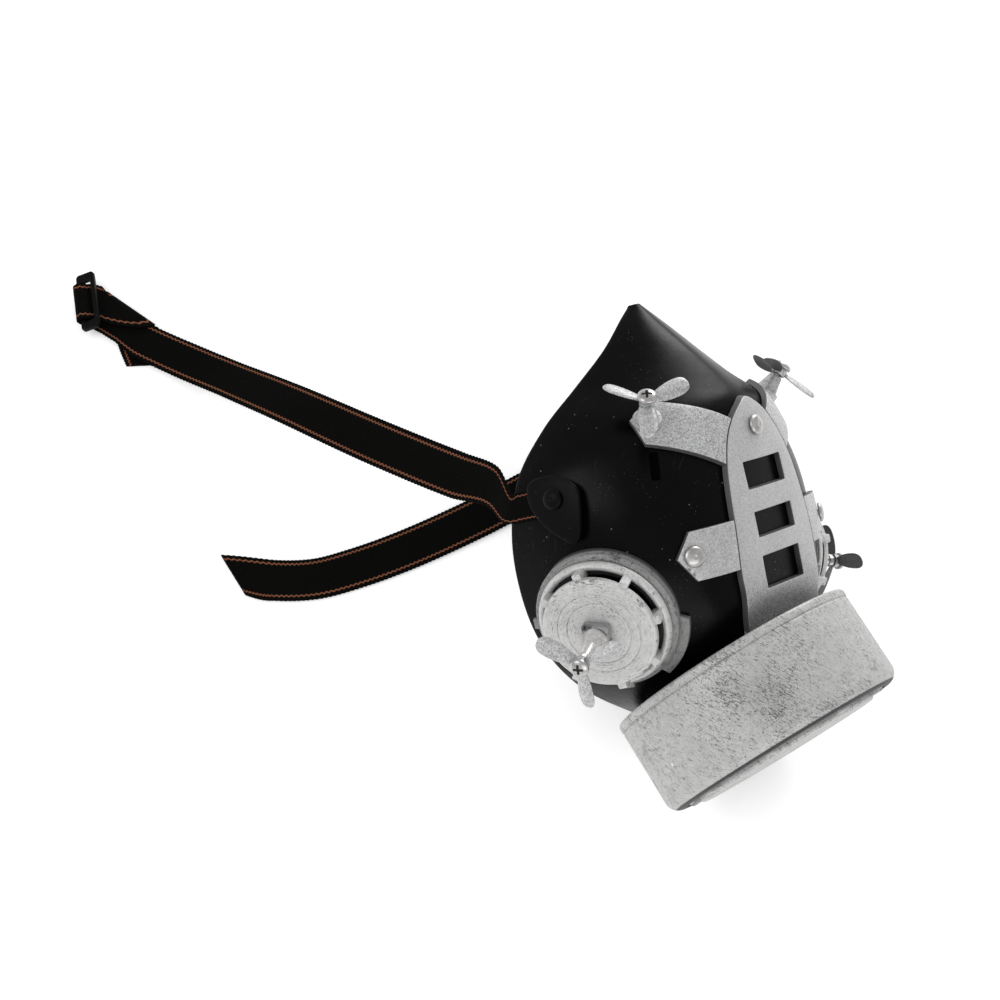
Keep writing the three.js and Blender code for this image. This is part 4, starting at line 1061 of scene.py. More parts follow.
def shell_body():
    """The half face shell: outer skin, rounded rims, hollow with a floor, and a solid nose tip."""
    rows, columns = 132, 150
    rim_share = np.array([0.0, 0.08, 0.25, 0.5, 0.85, 1.3])
    rim_sink = np.array([0.98, 0.7, 0.4, 0.16, 0.03, 0.0])
    ups = np.linspace(0, 1, rows)
    hollow_row = int(round(HOLLOW_TOP * (rows - 1)))
    floor_foot = placed(DRUM_FRAME, at(0, 0, FOOT_HEIGHT + FLOOR_THICKNESS))

    def around_row(up):
        step = 1e-3
        speed = np.linalg.norm(skin_point(up, 1.0) - skin_point(up, 1 - step)) / step
        near = 1 - rim_share / max(speed, 8.0)
        middle = np.linspace(near[-1], -near[-1], columns)
        return (np.concatenate([near, middle[1:-1], -near[::-1]]),
                np.concatenate([rim_sink, np.zeros(columns - 2), rim_sink[::-1]]))

    outer, inner = [], []
    thick = SHELL_WALL / 2
    for i, up in enumerate(ups):
        around, sink = around_row(up)
        outer.append(skin_at(np.full(len(around), up), around, -thick * sink))
        if i <= hollow_row:
            row = skin_at(np.full(len(around), up), around, -SHELL_WALL + thick * sink)
            height = (row - floor_foot) @ DRUM_UP
            inner.append(row - np.minimum(height, 0)[:, None] * DRUM_UP)
    width = len(outer[0])
    points = [np.vstack(outer), np.vstack(inner)]
    base = len(points[0])
    faces = grid_faces(rows, width)
    faces += [tuple(base + k for k in face[::-1]) for face in grid_faces(len(inner), width)]
    for i in range(hollow_row):
        for edge, flip in ((0, False), (width - 1, True)):
            ring = (i * width + edge, (i + 1) * width + edge,
                    base + (i + 1) * width + edge, base + i * width + edge)
            faces.append(ring[::-1] if flip else ring)
    tip = hollow_row * width
    faces.append((tip, tip + width - 1, base + tip + width - 1, base + tip))
    for i in range(hollow_row, rows - 1):
        start, end = i * width, (i + 1) * width
        faces.append((start, start + width - 1, end + width - 1, end))
    faces.append(tuple(range((rows - 1) * width, rows * width)))
    faces.append(tuple(base + hollow_row * width + j for j in range(width))[::-1])
    faces.append(tuple(range(width)))
    faces.append(tuple(base + j for j in range(width)))
    faces.append((0, width - 1, base + width - 1, base))
    return np.vstack(points), faces


class MASK_OT_shell(bpy.types.Operator):
    """Adds the black half face shell"""

    bl_idname = "mask.shell"
    bl_label = "Shell"

    def execute(self, context):
        frames = [skin_frame(SLOT_SPOT, side, at(0, 0, 1)) for side in SIDES.values()]
        tall = 4 * SHELL_WALL
        cutter = rounded_box((SLOT_HEIGHT, SLOT_WIDTH, tall), (0, 0, tall / 2 - SLOT_DEPTH), 0.6)

        def in_slots(points):
            """Painted shade on the walls and the bottom of the two slots, a little below the skin."""
            found = np.zeros(len(points))
            for matrix in frames:
                x, y, z = in_frame(matrix, points).T
                found += ((abs(x) < SLOT_HEIGHT / 2 + 0.1) & (abs(y) < SLOT_WIDTH / 2 + 0.1)
                          & (z < -0.25) & (z > -SLOT_DEPTH - 0.2))
            return found

        make("shell", [shell_body()], finish(context, "black_moulding"),
             cuts=[body for matrix in frames for body in moved(matrix, cutter)],
             values={"place": lambda p: p, "shadow": in_slots})
        return {"FINISHED"}


# Grille plate, arms and tabs

# Half outline of the plate: up is a share of its height, out of its half width.
PLATE_EDGE = [
    (0, 0.96), (0.2, 0.995), (0.33, 1), (0.5, 0.95), (0.64, 0.89), (0.74, 0.81),
    (0.84, 0.66), (0.92, 0.45), (0.975, 0.2), (1, 0),
]
# Windows: low and high edge as shares of the plate's height.
WINDOWS = [(0.21, 0.345), (0.425, 0.53), (0.625, 0.74)]
PLATE_FRAME = frame_at(at(0, SHELL_DEPTH, 0), at(0, 1, 0), at(-1, 0, 0))


def plate_side(margin):
    """The plate's right edge in its frame, from the foot to the top, as points of x and height."""
    half = np.array([
        (out * (PLATE_HALF_WIDTH + margin), PLATE_BASE + up * (PLATE_HEIGHT + margin))
        for up, out in PLATE_EDGE
    ])
    mirrored = half[-2::-1] * (-1, 1)
    whole = np.vstack([half, mirrored])
    made = []
    for i in range(len(half) - 1):
        corners = [whole[max(i - 1, 0)], whole[i], whole[i + 1], whole[i + 2]]
        made.extend(between(*corners, share) for share in np.arange(16) / 16)
    made.append(half[-1])
    return np.array(made)


def foot_line(offset):
    """Where the skin at an offset meets the drum's plate, as x and height over the chin."""
    around = np.linspace(-0.6, 0.6, 161)
    low, high = np.zeros(len(around)), np.full(len(around), 0.2)

    def height(up):
        skin = skin_at(up, around, np.full(len(around), offset))
        return (skin - DRUM_CENTRE) @ DRUM_UP - FOOT_HEIGHT

    for _ in range(24):
        middle = (low + high) / 2
        under = height(middle) < 0
        low, high = np.where(under, middle, low), np.where(under, high, middle)
    found = skin_at(high, around, np.full(len(around), offset))
    return found[:, 0], found[:, 2]


def plate_outline(offset):
    side = plate_side(0)
    x, z = foot_line(offset)
    corner = 0.965 * PLATE_HALF_WIDTH
    base = np.linspace(-corner, corner, 40)
    low = np.maximum(np.interp(base, x, z) + 0.1, PLATE_BASE)
    right = side[side[:, 1] > PLATE_BASE + 0.06 * PLATE_HEIGHT]
    left = right[-2::-1] * (-1, 1)
    return np.vstack([np.column_stack([base, low]), right, left])


def rim_value(matrix, rings):
    """How far each point lies from the nearest rim, in the frame of the outline."""

    def value(points):
        flat = in_frame(matrix, points)[:, :2]
        return np.min([edge_distance(ring, flat) for ring in rings], 0)

    return value


def sheet_values(matrix, rings, coarse, below=None):
    return {
        "coarse": lambda points: np.full(len(points), coarse),
        "place": lambda points: in_frame(matrix, points),
        "rim": rim_value(matrix, rings),
        "below": below or (lambda points: np.zeros(len(points))),
    }


def plate_shade(points):
    """Painted shade: the plate darkens towards the drum. The same value coarsens its grain there."""
    height = (points - DRUM_CENTRE) @ DRUM_UP
    return np.clip(1 - height / 19, 0, 1) ** 1.5


def strip_parts(side, spot, join, width, point):
    """The frame of a strip on the skin, and its outlines at the upper and lower offset. It starts
    at the plate's edge and ends in a point past its spot."""
    end = skin_point(spot[0], side * spot[1])
    start = skin_point(join[0], side * join[1])
    matrix = frame_at(end, skin_normal(spot[0], side * spot[1]), end - start)
    edge = plate_side(GAP)
    half = width / 2
    across = np.linspace(half, -half, 15)
    made = []
    for offset in (PLATE_TOP, GAP):
        rays = np.column_stack([side * edge[:, 0], np.full(len(edge), 150.0), edge[:, 1]])
        inner = rays[(rays[:, 2] > PLATE_BASE + 6)
                     & (rays[:, 2] < PLATE_BASE + 0.97 * PLATE_HEIGHT)]
        line = in_frame(matrix, dropped(inner, at(0, -1, 0), offset))
        order = np.argsort(line[:, 1])
        cut = np.interp(across, line[order, 1], line[order, 0])
        tip = [(0.0, -half), (point, 0), (0.0, half)]
        lower = [(x, -half) for x in np.linspace(cut[-1], 0.0, 24)[1:-1]]
        upper = [(x, half) for x in np.linspace(0.0, cut[0], 24)[1:-1]]
        slant = [[(1 - s) * np.array(a) + s * np.array(b) for s in np.linspace(0, 1, 9)[1:-1]]
                 for a, b in ((tip[0], tip[1]), (tip[1], tip[2]))]
        made.append(np.array(lower + [tip[0]] + slant[0] + [tip[1]] + slant[1] + [tip[2]] + upper
                             + list(zip(cut, across))))
    return matrix, made


class MASK_OT_trim(bpy.types.Operator):
    """Adds the silver grille plate, the upper arms and the side tabs"""

    bl_idname = "mask.trim"
    bl_label = "Plate, arms and tabs"

    def execute(self, context):
        sizes = context.scene.mask_sizes
        edge = sizes.rim_round * METRE
        paint = finish(context, "grained_silver")
        holes = []
        for low, high in WINDOWS:
            low, high = PLATE_BASE + low * PLATE_HEIGHT, PLATE_BASE + high * PLATE_HEIGHT
            w = WINDOW_HALF_WIDTH
            corners = eased([(-w, low), (w, low), (w, high), (-w, high)], 0.5, 3, True)
            holes.append(densified(corners, 1.2))
        tops = [plate_outline(PLATE_TOP)] + holes
        bottoms = [plate_outline(GAP)] + holes
        body = skin_sheet(tops, bottoms, PLATE_FRAME, GAP, PLATE_TOP, edge)
        make("grille_plate", [body], paint, sharp=50,
             values=sheet_values(PLATE_FRAME, tops, 0.5, plate_shade))
        for word, side in SIDES.items():
            for name, spot, join, width, point, coarse in (
                ("upper_arm", POST_SPOT, ARM_JOIN, ARM_WIDTH, ARM_POINT, 1.1),
                ("side_tab", TAB_RIVET, TAB_JOIN, TAB_WIDTH, TAB_POINT, 0.75),
            ):
                matrix, (top, bottom) = strip_parts(side, spot, join, width, point)
                body = skin_sheet([top], [bottom], matrix, GAP, PLATE_TOP, edge)
                make(f"{name}_{word}", [body], paint, sharp=50,
                     values=sheet_values(matrix, [top], coarse))
        return {"FINISHED"}


# A leaf over each strap's end. ahead and up are shares of its length.
LEAF_LENGTH = 22
LEAF = [
    (-0.5, 0.17), (-0.3, 0.31), (0.02, 0.36), (0.36, 0.22), (0.46, -0.1),
    (0.47, -0.5), (0.38, -0.66), (0.16, -0.6), (-0.2, -0.4), (-0.45, -0.12),
]


class MASK_OT_strap_tabs(bpy.types.Operator):
    """Adds the black leaves that hold the straps"""

    bl_idname = "mask.strap_tabs"
    bl_label = "Strap tabs"

    def execute(self, context):
        edge = context.scene.mask_sizes.rim_round * METRE
        for word, side in SIDES.items():
            matrix = skin_frame(STRAP_RIVET, side, at(0, 1, 0))
            leaf = np.array([(a * LEAF_LENGTH, side * u * LEAF_LENGTH) for a, u in LEAF])
            path = smooth_path(leaf if side < 0 else leaf[::-1], 8)
            body = skin_sheet([path], [path], matrix, STRAP_TAB_LOW, STRAP_TAB_HIGH, edge, 1.6)
            make(f"strap_tab_{word}", [body], finish(context, "satin_black"),
                 local=matrix, sharp=50)
        return {"FINISHED"}


# Rivets


def rivet_head():
    """The profile of a domed rivet head, from Z 0, with a small dent in its middle."""
    brim, dent_depth, dent_radius = 0.5, 0.16, 0.55
    radii = [RIVET_RADIUS * math.cos(angle) for angle in np.linspace(0, math.pi / 2, 12)]
    dome = []
    for radius in [radius for radius in radii if radius > 1.0] + [0.9, 0.6, 0.3, 0.0]:
        level = brim + (RIVET_DOME - brim) * math.sqrt(1 - (radius / RIVET_RADIUS) ** 2)
        dome.append((radius, level - dent_depth * math.exp(-((radius / dent_radius) ** 2))))
    return eased([(0.0, 0.0), (RIVET_RADIUS - 0.1, 0.0), (RIVET_RADIUS, 0.25)], 0.1) + dome


RIVETS = {
    "rivet_plate": (PLATE_RIVET, 1, PLATE_TOP),
    "rivet_side_right": (TAB_RIVET, 1, PLATE_TOP),
    "rivet_side_left": (TAB_RIVET, -1, PLATE_TOP),
    "rivet_strap_right": (STRAP_RIVET, 1, STRAP_TAB_HIGH),
    "rivet_strap_left": (STRAP_RIVET, -1, STRAP_TAB_HIGH),
}


class MASK_OT_rivets(bpy.types.Operator):
    """Adds the five domed rivets"""

    bl_idname = "mask.rivets"
    bl_label = "Rivets"

    def execute(self, context):
        for name, (spot, side, seat) in RIVETS.items():
            matrix = skin_frame(spot, side, at(0, 0, 1)) @ lift(seat + GAP)
            shank = -(seat + GAP + SHELL_WALL)
            profile = [(0.0, shank), (RIVET_SHANK, shank), (RIVET_SHANK, 0.0)] + rivet_head()[1:]
            black = "strap" in name
            make(name, moved(matrix, lathe(profile, 64)),
                 finish(context, "satin_black" if black else "polished_metal"),
                 local=matrix)
        return {"FINISHED"}


# Drum


def slotted_cap(ring, band, ring_height, disc, rise, thick, rib_width, grooves, segments):
    """Bodies of a slotted cap: an outer ring, a raised disc and ribs between them, from Z 0."""
    inner = ring - band
    ring_path = eased([(inner, 0), (ring, 0), (ring, 0.5 * ring_height),
                       (ring - 0.4 * band, ring_height), (inner, 0.8 * ring_height)],
                      0.9, 4, True)
    low = rise - thick
    groove_width, groove_depth = 0.55, 0.4
    top = [(disc, low), (disc, rise - 0.75), (disc - 0.75, rise)]
    for radius in grooves:
        top += [(radius + groove_width / 2, rise), (radius, rise - groove_depth),
                (radius - groove_width / 2, rise)]
    profile = [(0.0, low)] + eased(top + [(2.0, rise)], 0.35, 3) + [(0.0, rise)]
    bodies = [lathe(ring_path, segments, closed=True), lathe(profile, segments)]
    outside, within, foot = ring - 0.45 * band, disc - 1.5, 0.3 * ring_height
    length, height = outside - within, rise - 0.8 - foot
    for i in range(CAP_RIBS):
        rib = rounded_box((length, rib_width, height),
                          (within + length / 2, 0, foot + height / 2), 0.4)
        bodies += moved(turn_about("Z", (i + 0.35) / CAP_RIBS * 360), rib)
    return bodies


class MASK_OT_drum(bpy.types.Operator):
    """Adds the drum under the chin and its slotted cap"""

    bl_idname = "mask.drum"
    bl_label = "Drum"

    def execute(self, context):
        low = -DRUM_HEIGHT
        edge = [(DRUM_RADIUS - DRUM_EDGE_ROUND * (1 - math.cos(a)),
                 low + DRUM_EDGE_ROUND * (1 + math.sin(a)))
                for a in np.linspace(-math.pi / 2, 0, 14)]
        under = -DRUM_RECESS - DRUM_PLATE
        mouth = DRUM_CAP_RADIUS + GAP
        profile = [(0.0, under)] + eased([
            (LIP_RADIUS, under), (LIP_RADIUS, low + DRUM_EDGE_ROUND + 1),
            (mouth, low + DRUM_WALL), (mouth, low), edge[0]], 0.3)[:-1] + edge + eased([
            edge[-1], (DRUM_RADIUS, -4.6), (DRUM_RADIUS, -3.7), (DRUM_RADIUS - 0.55, -3.3),
            (DRUM_RADIUS + 0.15, -2.8), (DRUM_RADIUS + 0.15, -0.7), (DRUM_RADIUS - 0.5, 0),
            (LIP_RADIUS, 0), (LIP_RADIUS, -DRUM_RECESS), (0.0, -DRUM_RECESS)], 0.35)[1:]
        silver = finish(context, "drum_silver")

        # Painted shade: the drum's recess and inner walls are painted near black.
        def recess(points):
            x, y, z = in_frame(DRUM_FRAME, points).T
            return ((np.hypot(x, y) < LIP_RADIUS + 0.2) & (z < -0.5)).astype(float)

        make("drum", moved(DRUM_FRAME, lathe(profile, 192)), silver,
             values={"place": lambda p: in_frame(DRUM_FRAME, p), "shadow": recess})
        matrix = DRUM_FRAME @ lift(DRUM_WALL - DRUM_HEIGHT) @ turn_about("X", 180)
        bodies = slotted_cap(DRUM_CAP_RADIUS, 2.6, DRUM_WALL, DRUM_CAP_DISC,
                             DRUM_WALL + DRUM_CAP_RISE, DRUM_WALL, DRUM_RIB_WIDTH,
                             [0.72 * DRUM_CAP_DISC], 160)
        make("drum_cap", moved(matrix, *bodies), silver, local=matrix)
        return {"FINISHED"}


# Cheek canisters

# Shifts the marks on the two caps, so that they differ.
MARKS_APART = 40


def standing_ring(matrix, profile, bore, outside, offset, lowest, segments):
    """A ring that stands on the skin at an offset. profile runs from its outside over its top to
    its bore. Its foot follows the skin."""
    angles = np.linspace(0, 2 * math.pi, segments, endpoint=False)
    feet = []
    for radius in np.linspace(bore, outside, 4):
        around = np.column_stack([radius * np.cos(angles), radius * np.sin(angles),
                                  np.full(segments, 12.0)])
        hits = in_frame(matrix, dropped(placed(matrix, around), -matrix[:3, 2], offset, 90.0))
        hits[:, :2] = around[:, :2]
        hits[:, 2] = np.maximum(hits[:, 2], lowest)
        feet.append(hits)
    rows = feet + [np.column_stack([r * np.cos(angles), r * np.sin(angles), np.full(segments, z)])
                   for r, z in profile]
    return (placed(matrix, np.vstack(rows)),
            grid_faces(len(rows), segments, close_rows=True, close_columns=True))


def canister_base_bodies(matrix, side):
    """A grooved base whose skirt follows the shell, with a crescent lug and two nubs."""
    top = CANISTER_BASE_HEIGHT
    radius = CANISTER_RADIUS
    profile = eased([
        (radius, -0.4), (radius, 0.12 * top), (radius - 0.55, 0.2 * top), (radius, 0.3 * top),
        (radius, 0.42 * top), (radius - 0.55, 0.5 * top), (radius, 0.58 * top),
        (radius, 0.75 * top), (RING_RADIUS, top), (CANISTER_BASE_BORE, top),
        (CANISTER_BASE_BORE, -0.4)], 0.25, 2)
    bodies = [standing_ring(matrix, profile, CANISTER_BASE_BORE, radius, GAP, -CANISTER_SKIRT, 144)]
    sweep = np.radians(np.linspace(-24, 24, 20))
    inner = np.radians(np.linspace(28, -28, 20))
    crescent = np.vstack([
        np.column_stack([(radius + 3.2) * np.cos(sweep), (radius + 3.2) * np.sin(sweep)]),
        np.column_stack([(radius - 1.5) * np.cos(inner), (radius - 1.5) * np.sin(inner)])])
    crescent_turn = matrix @ turn_about("Z", side * CRESCENT_TURN)
    bodies += moved(crescent_turn, extruded(crescent, -1.6, 0.8, 0.35))
    for turn in NUB_TURNS:
        nub = rounded_box((3, 4, 2), (radius, 0, 0.5 * top), 0.5)
        bodies += moved(matrix @ turn_about("Z", side * turn), nub)
    return bodies


def spike_profile():
    """A polished cone with a flared foot and a bore in its tip."""
    outside = [(0, SPIKE_BASE_RADIUS), (0.08, SPIKE_BASE_RADIUS), (0.16, 0.93 * SPIKE_BASE_RADIUS),
               (0.3, 0.82 * SPIKE_BASE_RADIUS), (0.94, SPIKE_TIP_RADIUS), (1.0, SPIKE_TIP_RADIUS)]
    path = [(radius, share * SPIKE_LENGTH) for share, radius in outside]
    path += [(BORE, SPIKE_LENGTH), (BORE, 0.3 * SPIKE_LENGTH)]
    return [(0.0, 0.0)] + eased([(0.5, 0.0)] + path, 0.4, 4) + [(0.0, 0.3 * SPIKE_LENGTH)]


def six_sided(radius, bore, height):
    """A six-sided nut with a round bore."""
    count = 72
    angles = np.linspace(0, 2 * math.pi, count, endpoint=False)
    within = np.mod(angles, math.pi / 3) - math.pi / 6
    flat = radius * math.cos(math.pi / 6) / np.cos(within)
    rows = []
    for outer, z in ((0.88, 0.0), (1.0, 0.22), (1.0, height - 0.22), (0.88, height)):
        r = np.minimum(flat, radius * (outer + 0.04)) if outer < 1 else flat
        rows.append(np.column_stack([r * np.cos(angles), r * np.sin(angles), np.full(count, z)]))
    for z in (height, 0.0):
        rows.append(np.column_stack([bore * np.cos(angles), bore * np.sin(angles),
                                     np.full(count, z)]))
    return np.vstack(rows), grid_faces(len(rows), count, close_rows=True, close_columns=True)


class MASK_OT_canisters(bpy.types.Operator):
    """Adds the cheek canisters: base, slotted cap and boss"""

    bl_idname = "mask.canisters"
    bl_label = "Canisters"

    def execute(self, context):
        sizes = context.scene.mask_sizes
        silver = finish(context, "canister_silver")
        grooves = [sizes.outer_groove * METRE, sizes.inner_groove * METRE]
        for word, side in SIDES.items():
            stack = canister_frame(side)

            def base_shadow(points):
                local = in_frame(stack, points)
                reach = np.hypot(local[:, 0], local[:, 1])
                inner = np.clip((RING_RADIUS - 1.2 - reach) / 0.8, 0, 1)
                skirt = np.clip((0.2 - local[:, 2]) / 1.5, 0, 0.8) * (reach < CANISTER_RADIUS + 0.2)
                return np.maximum(inner, skirt)

            make(f"canister_base_{word}", canister_base_bodies(stack, side),
                 finish(context, "base_silver"),
                 values={"place": lambda p: in_frame(stack, p), "shadow": base_shadow})
            cap = stack @ lift(CAP_LOW)
            bodies = slotted_cap(RING_RADIUS, RING_BAND, RING_HEIGHT, DISC_RADIUS, DISC_RISE,
                                 DISC_THICKNESS, RIB_WIDTH, grooves, 144)
            make(f"canister_cap_{word}", moved(cap, *bodies), silver,
                 values={"place": lambda p: in_frame(cap, p) + at(0, 0, side * MARKS_APART)})
            boss = stack @ lift(BOSS_LOW)
            block = rounded_box((BOSS_SIDE, BOSS_SIDE, BOSS_HEIGHT), (0, 0, BOSS_HEIGHT / 2),
                                0.5, 3)
            notch = rounded_box((BOSS_SIDE / 3, BOSS_SIDE / 3, BOSS_HEIGHT),
                                (BOSS_SIDE / 2, BOSS_SIDE / 4, BOSS_HEIGHT), 0.3)
            make(f"canister_boss_{word}", moved(boss, block),
                 finish(context, "rubbed_dark_metal"), local=boss,
                 cuts=moved(boss, notch))
        return {"FINISHED"}


class MASK_OT_spikes(bpy.types.Operator):
    """Adds the polished spikes and nuts on the canisters"""

    bl_idname = "mask.spikes"
    bl_label = "Spikes and nuts"

    def execute(self, context):
        metal = finish(context, "spike_metal")
        for word, side in SIDES.items():
            stack = canister_frame(side)
            for name, low, body in (
                ("spike", SPIKE_LOW, lathe(spike_profile(), 96)),
                ("nut", NUT_LOW, six_sided(NUT_RADIUS, BORE, NUT_HEIGHT)),
            ):
                matrix = stack @ lift(low)
                make(f"canister_{name}_{word}", moved(matrix, body), metal,
                     local=matrix)
        return {"FINISHED"}


class MASK_OT_standoffs(bpy.types.Operator):
    """Adds the tapered posts under the upper propellers"""

    bl_idname = "mask.standoffs"
    bl_label = "Posts"

    def execute(self, context):
        for word, side in SIDES.items():
            matrix = post_frame(side)
            profile = eased([
                (POST_FLANGE_RADIUS, 0.4), (POST_FLANGE_RADIUS, POST_FLANGE_HEIGHT),
                (POST_BASE_RADIUS, POST_FLANGE_HEIGHT), (POST_TOP_RADIUS, POST_LENGTH),
                (BORE, POST_LENGTH), (BORE, 0.6)], 0.35, 3)
            body = standing_ring(matrix, profile, BORE, POST_FLANGE_RADIUS, PLATE_TOP + GAP,
                                 -POST_FLANGE_RADIUS, 72)
            make(f"standoff_{word}", [body], finish(context, "small_silver"),
                 local=matrix)
        return {"FINISHED"}


# Propellers and screws


def blade_body(camber):
    """One blade along X, cupped and with rounded rims."""
    length = BLADE_REACH - HUB_RADIUS
    share = np.linspace(0, 1, 40)[:, None]

    def bend(*corners):
        return bent(*(np.array(corner) for corner in corners), share)

    wide = 0.5 * BLADE_WIDTH
    curve = np.vstack([
        bend((0, BLADE_ROOT / 2), (0.3 * length, wide), (0.66 * length, wide)),
        bend((0.66 * length, wide), (length, wide), (length, 0))[1:]])
    angle = np.linspace(0, 1, 34)
    stations = length * np.sin(angle * math.pi / 2) ** 0.9
    stations[-1] = length
    halves = np.interp(stations, curve[:, 0], curve[:, 1])
    halves[-1] = 0.12
    count = 13
    across = -np.cos(np.linspace(0, math.pi, count))
    rows = []
    for x, half in zip(stations, halves):
        y = across * half
        bulge = camber * (1 - across**2) * min(half / wide, 1)
        thick = 0.5 * BLADE_THICKNESS * np.maximum(1 - np.abs(across) ** 5, 0.12) ** 0.5
        if x > 0.9 * length:
            thick = thick * (1 - 0.75 * ((x - 0.9 * length) / (0.1 * length)) ** 2)
        over = np.column_stack([np.full(count, x), y, bulge + thick])
        under = np.column_stack([np.full(count, x), y, bulge - thick])[::-1]
        rows.append(np.vstack([over, under]))
    points = np.vstack(rows)
    width = 2 * count
    faces = grid_faces(len(rows), width, close_columns=True)
    faces += [tuple(range(width))[::-1], tuple(range(len(points) - width, len(points)))]
    points = placed(turn_about("X", BLADE_PITCH), points)
    return points + at(HUB_RADIUS - 0.6, 0, HUB_HEIGHT / 2), faces


def propeller_bodies(turn, camber):
    """A bored hub and its blades, the first at an angle of turn."""
    hub = eased([(SHANK_RADIUS + RUNNING_GAP, 0), (HUB_RADIUS, 0), (HUB_RADIUS, HUB_HEIGHT),
                 (SHANK_RADIUS + RUNNING_GAP, HUB_HEIGHT)], 0.35, 3, True)
    bodies = [lathe(hub, 64, closed=True)]
    blade = blade_body(camber)
    for i in range(BLADE_COUNT):
        bodies += moved(turn_about("Z", turn + i * 360 / BLADE_COUNT), blade)
    return bodies


def darken_back(piece, matrix):
    """Paints shade on the faces that look down the matrix's Z axis, the backs of the blades."""
    normals = np.empty(3 * len(piece.data.vertices))
    piece.data.vertices.foreach_get("normal", normals)
    outward = unit(WORN_TO_FLOOR[:3, :3] @ matrix[:3, 2])
    facing = normals.reshape(-1, 3) @ outward
    write_attribute(piece.data, "shadow", "FLOAT", np.clip(-0.4 - 3 * facing, 0, 1))


class MASK_OT_propellers(bpy.types.Operator):
    """Adds the four small propellers, which spin"""

    bl_idname = "mask.propellers"
    bl_label = "Propellers"

    def execute(self, context):
        camber = context.scene.mask_sizes.blade_cup * METRE
        for word, side in SIDES.items():
            for name, matrix, turn in (
                ("upper", post_frame(side) @ lift(POST_LENGTH + RUNNING_GAP), UPPER_TURN[word]),
                ("canister", canister_frame(side) @ lift(HUB_LOW), CANISTER_TURN[word]),
            ):
                node = f"propeller_{name}_{word}"
                piece = make(node, moved(matrix, *propeller_bodies(turn, camber)),
                             finish(context, "small_silver"),
                             local=matrix, body=node)
                darken_back(piece, matrix)
        return {"FINISHED"}


def screw_bodies(shank):
    """A screw with a domed head, and the two bars that cut its cross."""
    dome = [(HEAD_RADIUS * math.cos(a), 0.35 * HEAD_HEIGHT + 0.65 * HEAD_HEIGHT * math.sin(a))
            for a in np.linspace(0.12, math.pi / 2, 12)][:-1]
    profile = ([(0.0, -shank), (SHANK_RADIUS, -shank), (SHANK_RADIUS, 0.0)]
               + eased([(SHANK_RADIUS + 0.3, 0.0), (HEAD_RADIUS, 0.0), dome[0]], 0.25, 3)[:-1]
               + dome + [(0.0, HEAD_HEIGHT)])
    depth = HEAD_HEIGHT - CROSS_DEPTH / 2 + 0.1
    cuts = [rounded_box(size, (0, 0, depth), 0.15)
            for size in ((CROSS_LENGTH, CROSS_WIDTH, CROSS_DEPTH),
                         (CROSS_WIDTH, CROSS_LENGTH, CROSS_DEPTH))]
    return lathe(profile, 64), cuts


class MASK_OT_screws(bpy.types.Operator):
    """Adds the cross-headed screws that hold the propellers"""

    bl_idname = "mask.screws"
    bl_label = "Screws"

    def execute(self, context):
        for word, side in SIDES.items():
            over_hub = HUB_HEIGHT + RUNNING_GAP
            for name, matrix, shank in (
                ("upper", post_frame(side) @ lift(POST_LENGTH + RUNNING_GAP + over_hub),
                 HUB_HEIGHT + POST_LENGTH),
                ("canister", canister_frame(side) @ lift(HUB_LOW + over_hub),
                 HUB_HEIGHT + NUT_HEIGHT + 0.6 * SPIKE_LENGTH),
            ):
                screw, cuts = screw_bodies(shank)

                # Painted shade in the cross cut in the head.
                def recess(points):
                    x, y, z = in_frame(matrix, points).T
                    reach = np.hypot(x, y) / HEAD_RADIUS
                    dome = HEAD_HEIGHT * (0.35 + 0.65 * np.sqrt(np.maximum(1 - reach**2, 0)))
                    return ((z < dome - 0.12) & (z > 0.5) & (reach < 0.6)).astype(float)

                make(f"screw_{name}_{word}", moved(matrix, screw),
                     finish(context, "polished_metal"),
                     values={"place": lambda p: in_frame(matrix, p), "shadow": recess},
                     cuts=moved(matrix, *cuts))
        return {"FINISHED"}


# Straps and slider, in the frame of the floor


def curve_point(points, place):
    """A point of the smooth curve through points, place from 0 to 1."""
    last = len(points) - 1
    spot = place * last
    i = min(int(spot), last - 1)
    share = spot - i
    p1, p2 = points[i], points[i + 1]
    p0 = points[i - 1] if i > 0 else 2 * points[0] - points[1]
    p3 = points[i + 2] if i + 2 <= last else 2 * points[last] - points[last - 1]
    d0, d1, d2 = (max(float(((b - a) ** 2).sum()) ** 0.25, 0.0) for a, b in
                  ((p0, p1), (p1, p2), (p2, p3)))
    d1 = d1 if d1 > 1e-4 else 1.0
    d0 = d0 if d0 > 1e-4 else d1
    d2 = d2 if d2 > 1e-4 else d1
    t1 = ((p1 - p0) / d0 - (p2 - p0) / (d0 + d1) + (p2 - p1) / d1) * d1
    t2 = ((p2 - p1) / d1 - (p3 - p1) / (d1 + d2) + (p3 - p2) / d2) * d1
    return (p1 + t1 * share + (-3 * p1 + 3 * p2 - 2 * t1 - t2) * share**2
            + (2 * p1 - 2 * p2 + t1 + t2) * share**3)


STRAP_START = 0.825


def on_shell(side):
    """The part of a strap that lies on the shell, from under its tab to the rim."""
    made = []
    for share in (0, 0.35, 0.7, 1):
        around = side * (STRAP_START + (1 - STRAP_START) * share)
        middle = skin_at(STRAP_RIVET[0], around, STRAP_OFFSET + STRAP_THICKNESS / 2)
        face = skin_normal(STRAP_RIVET[0], around) * side
        made.append((placed(WORN_TO_FLOOR, middle), WORN_TO_FLOOR[:3, :3] @ face, STRAP_THROAT))
    return made


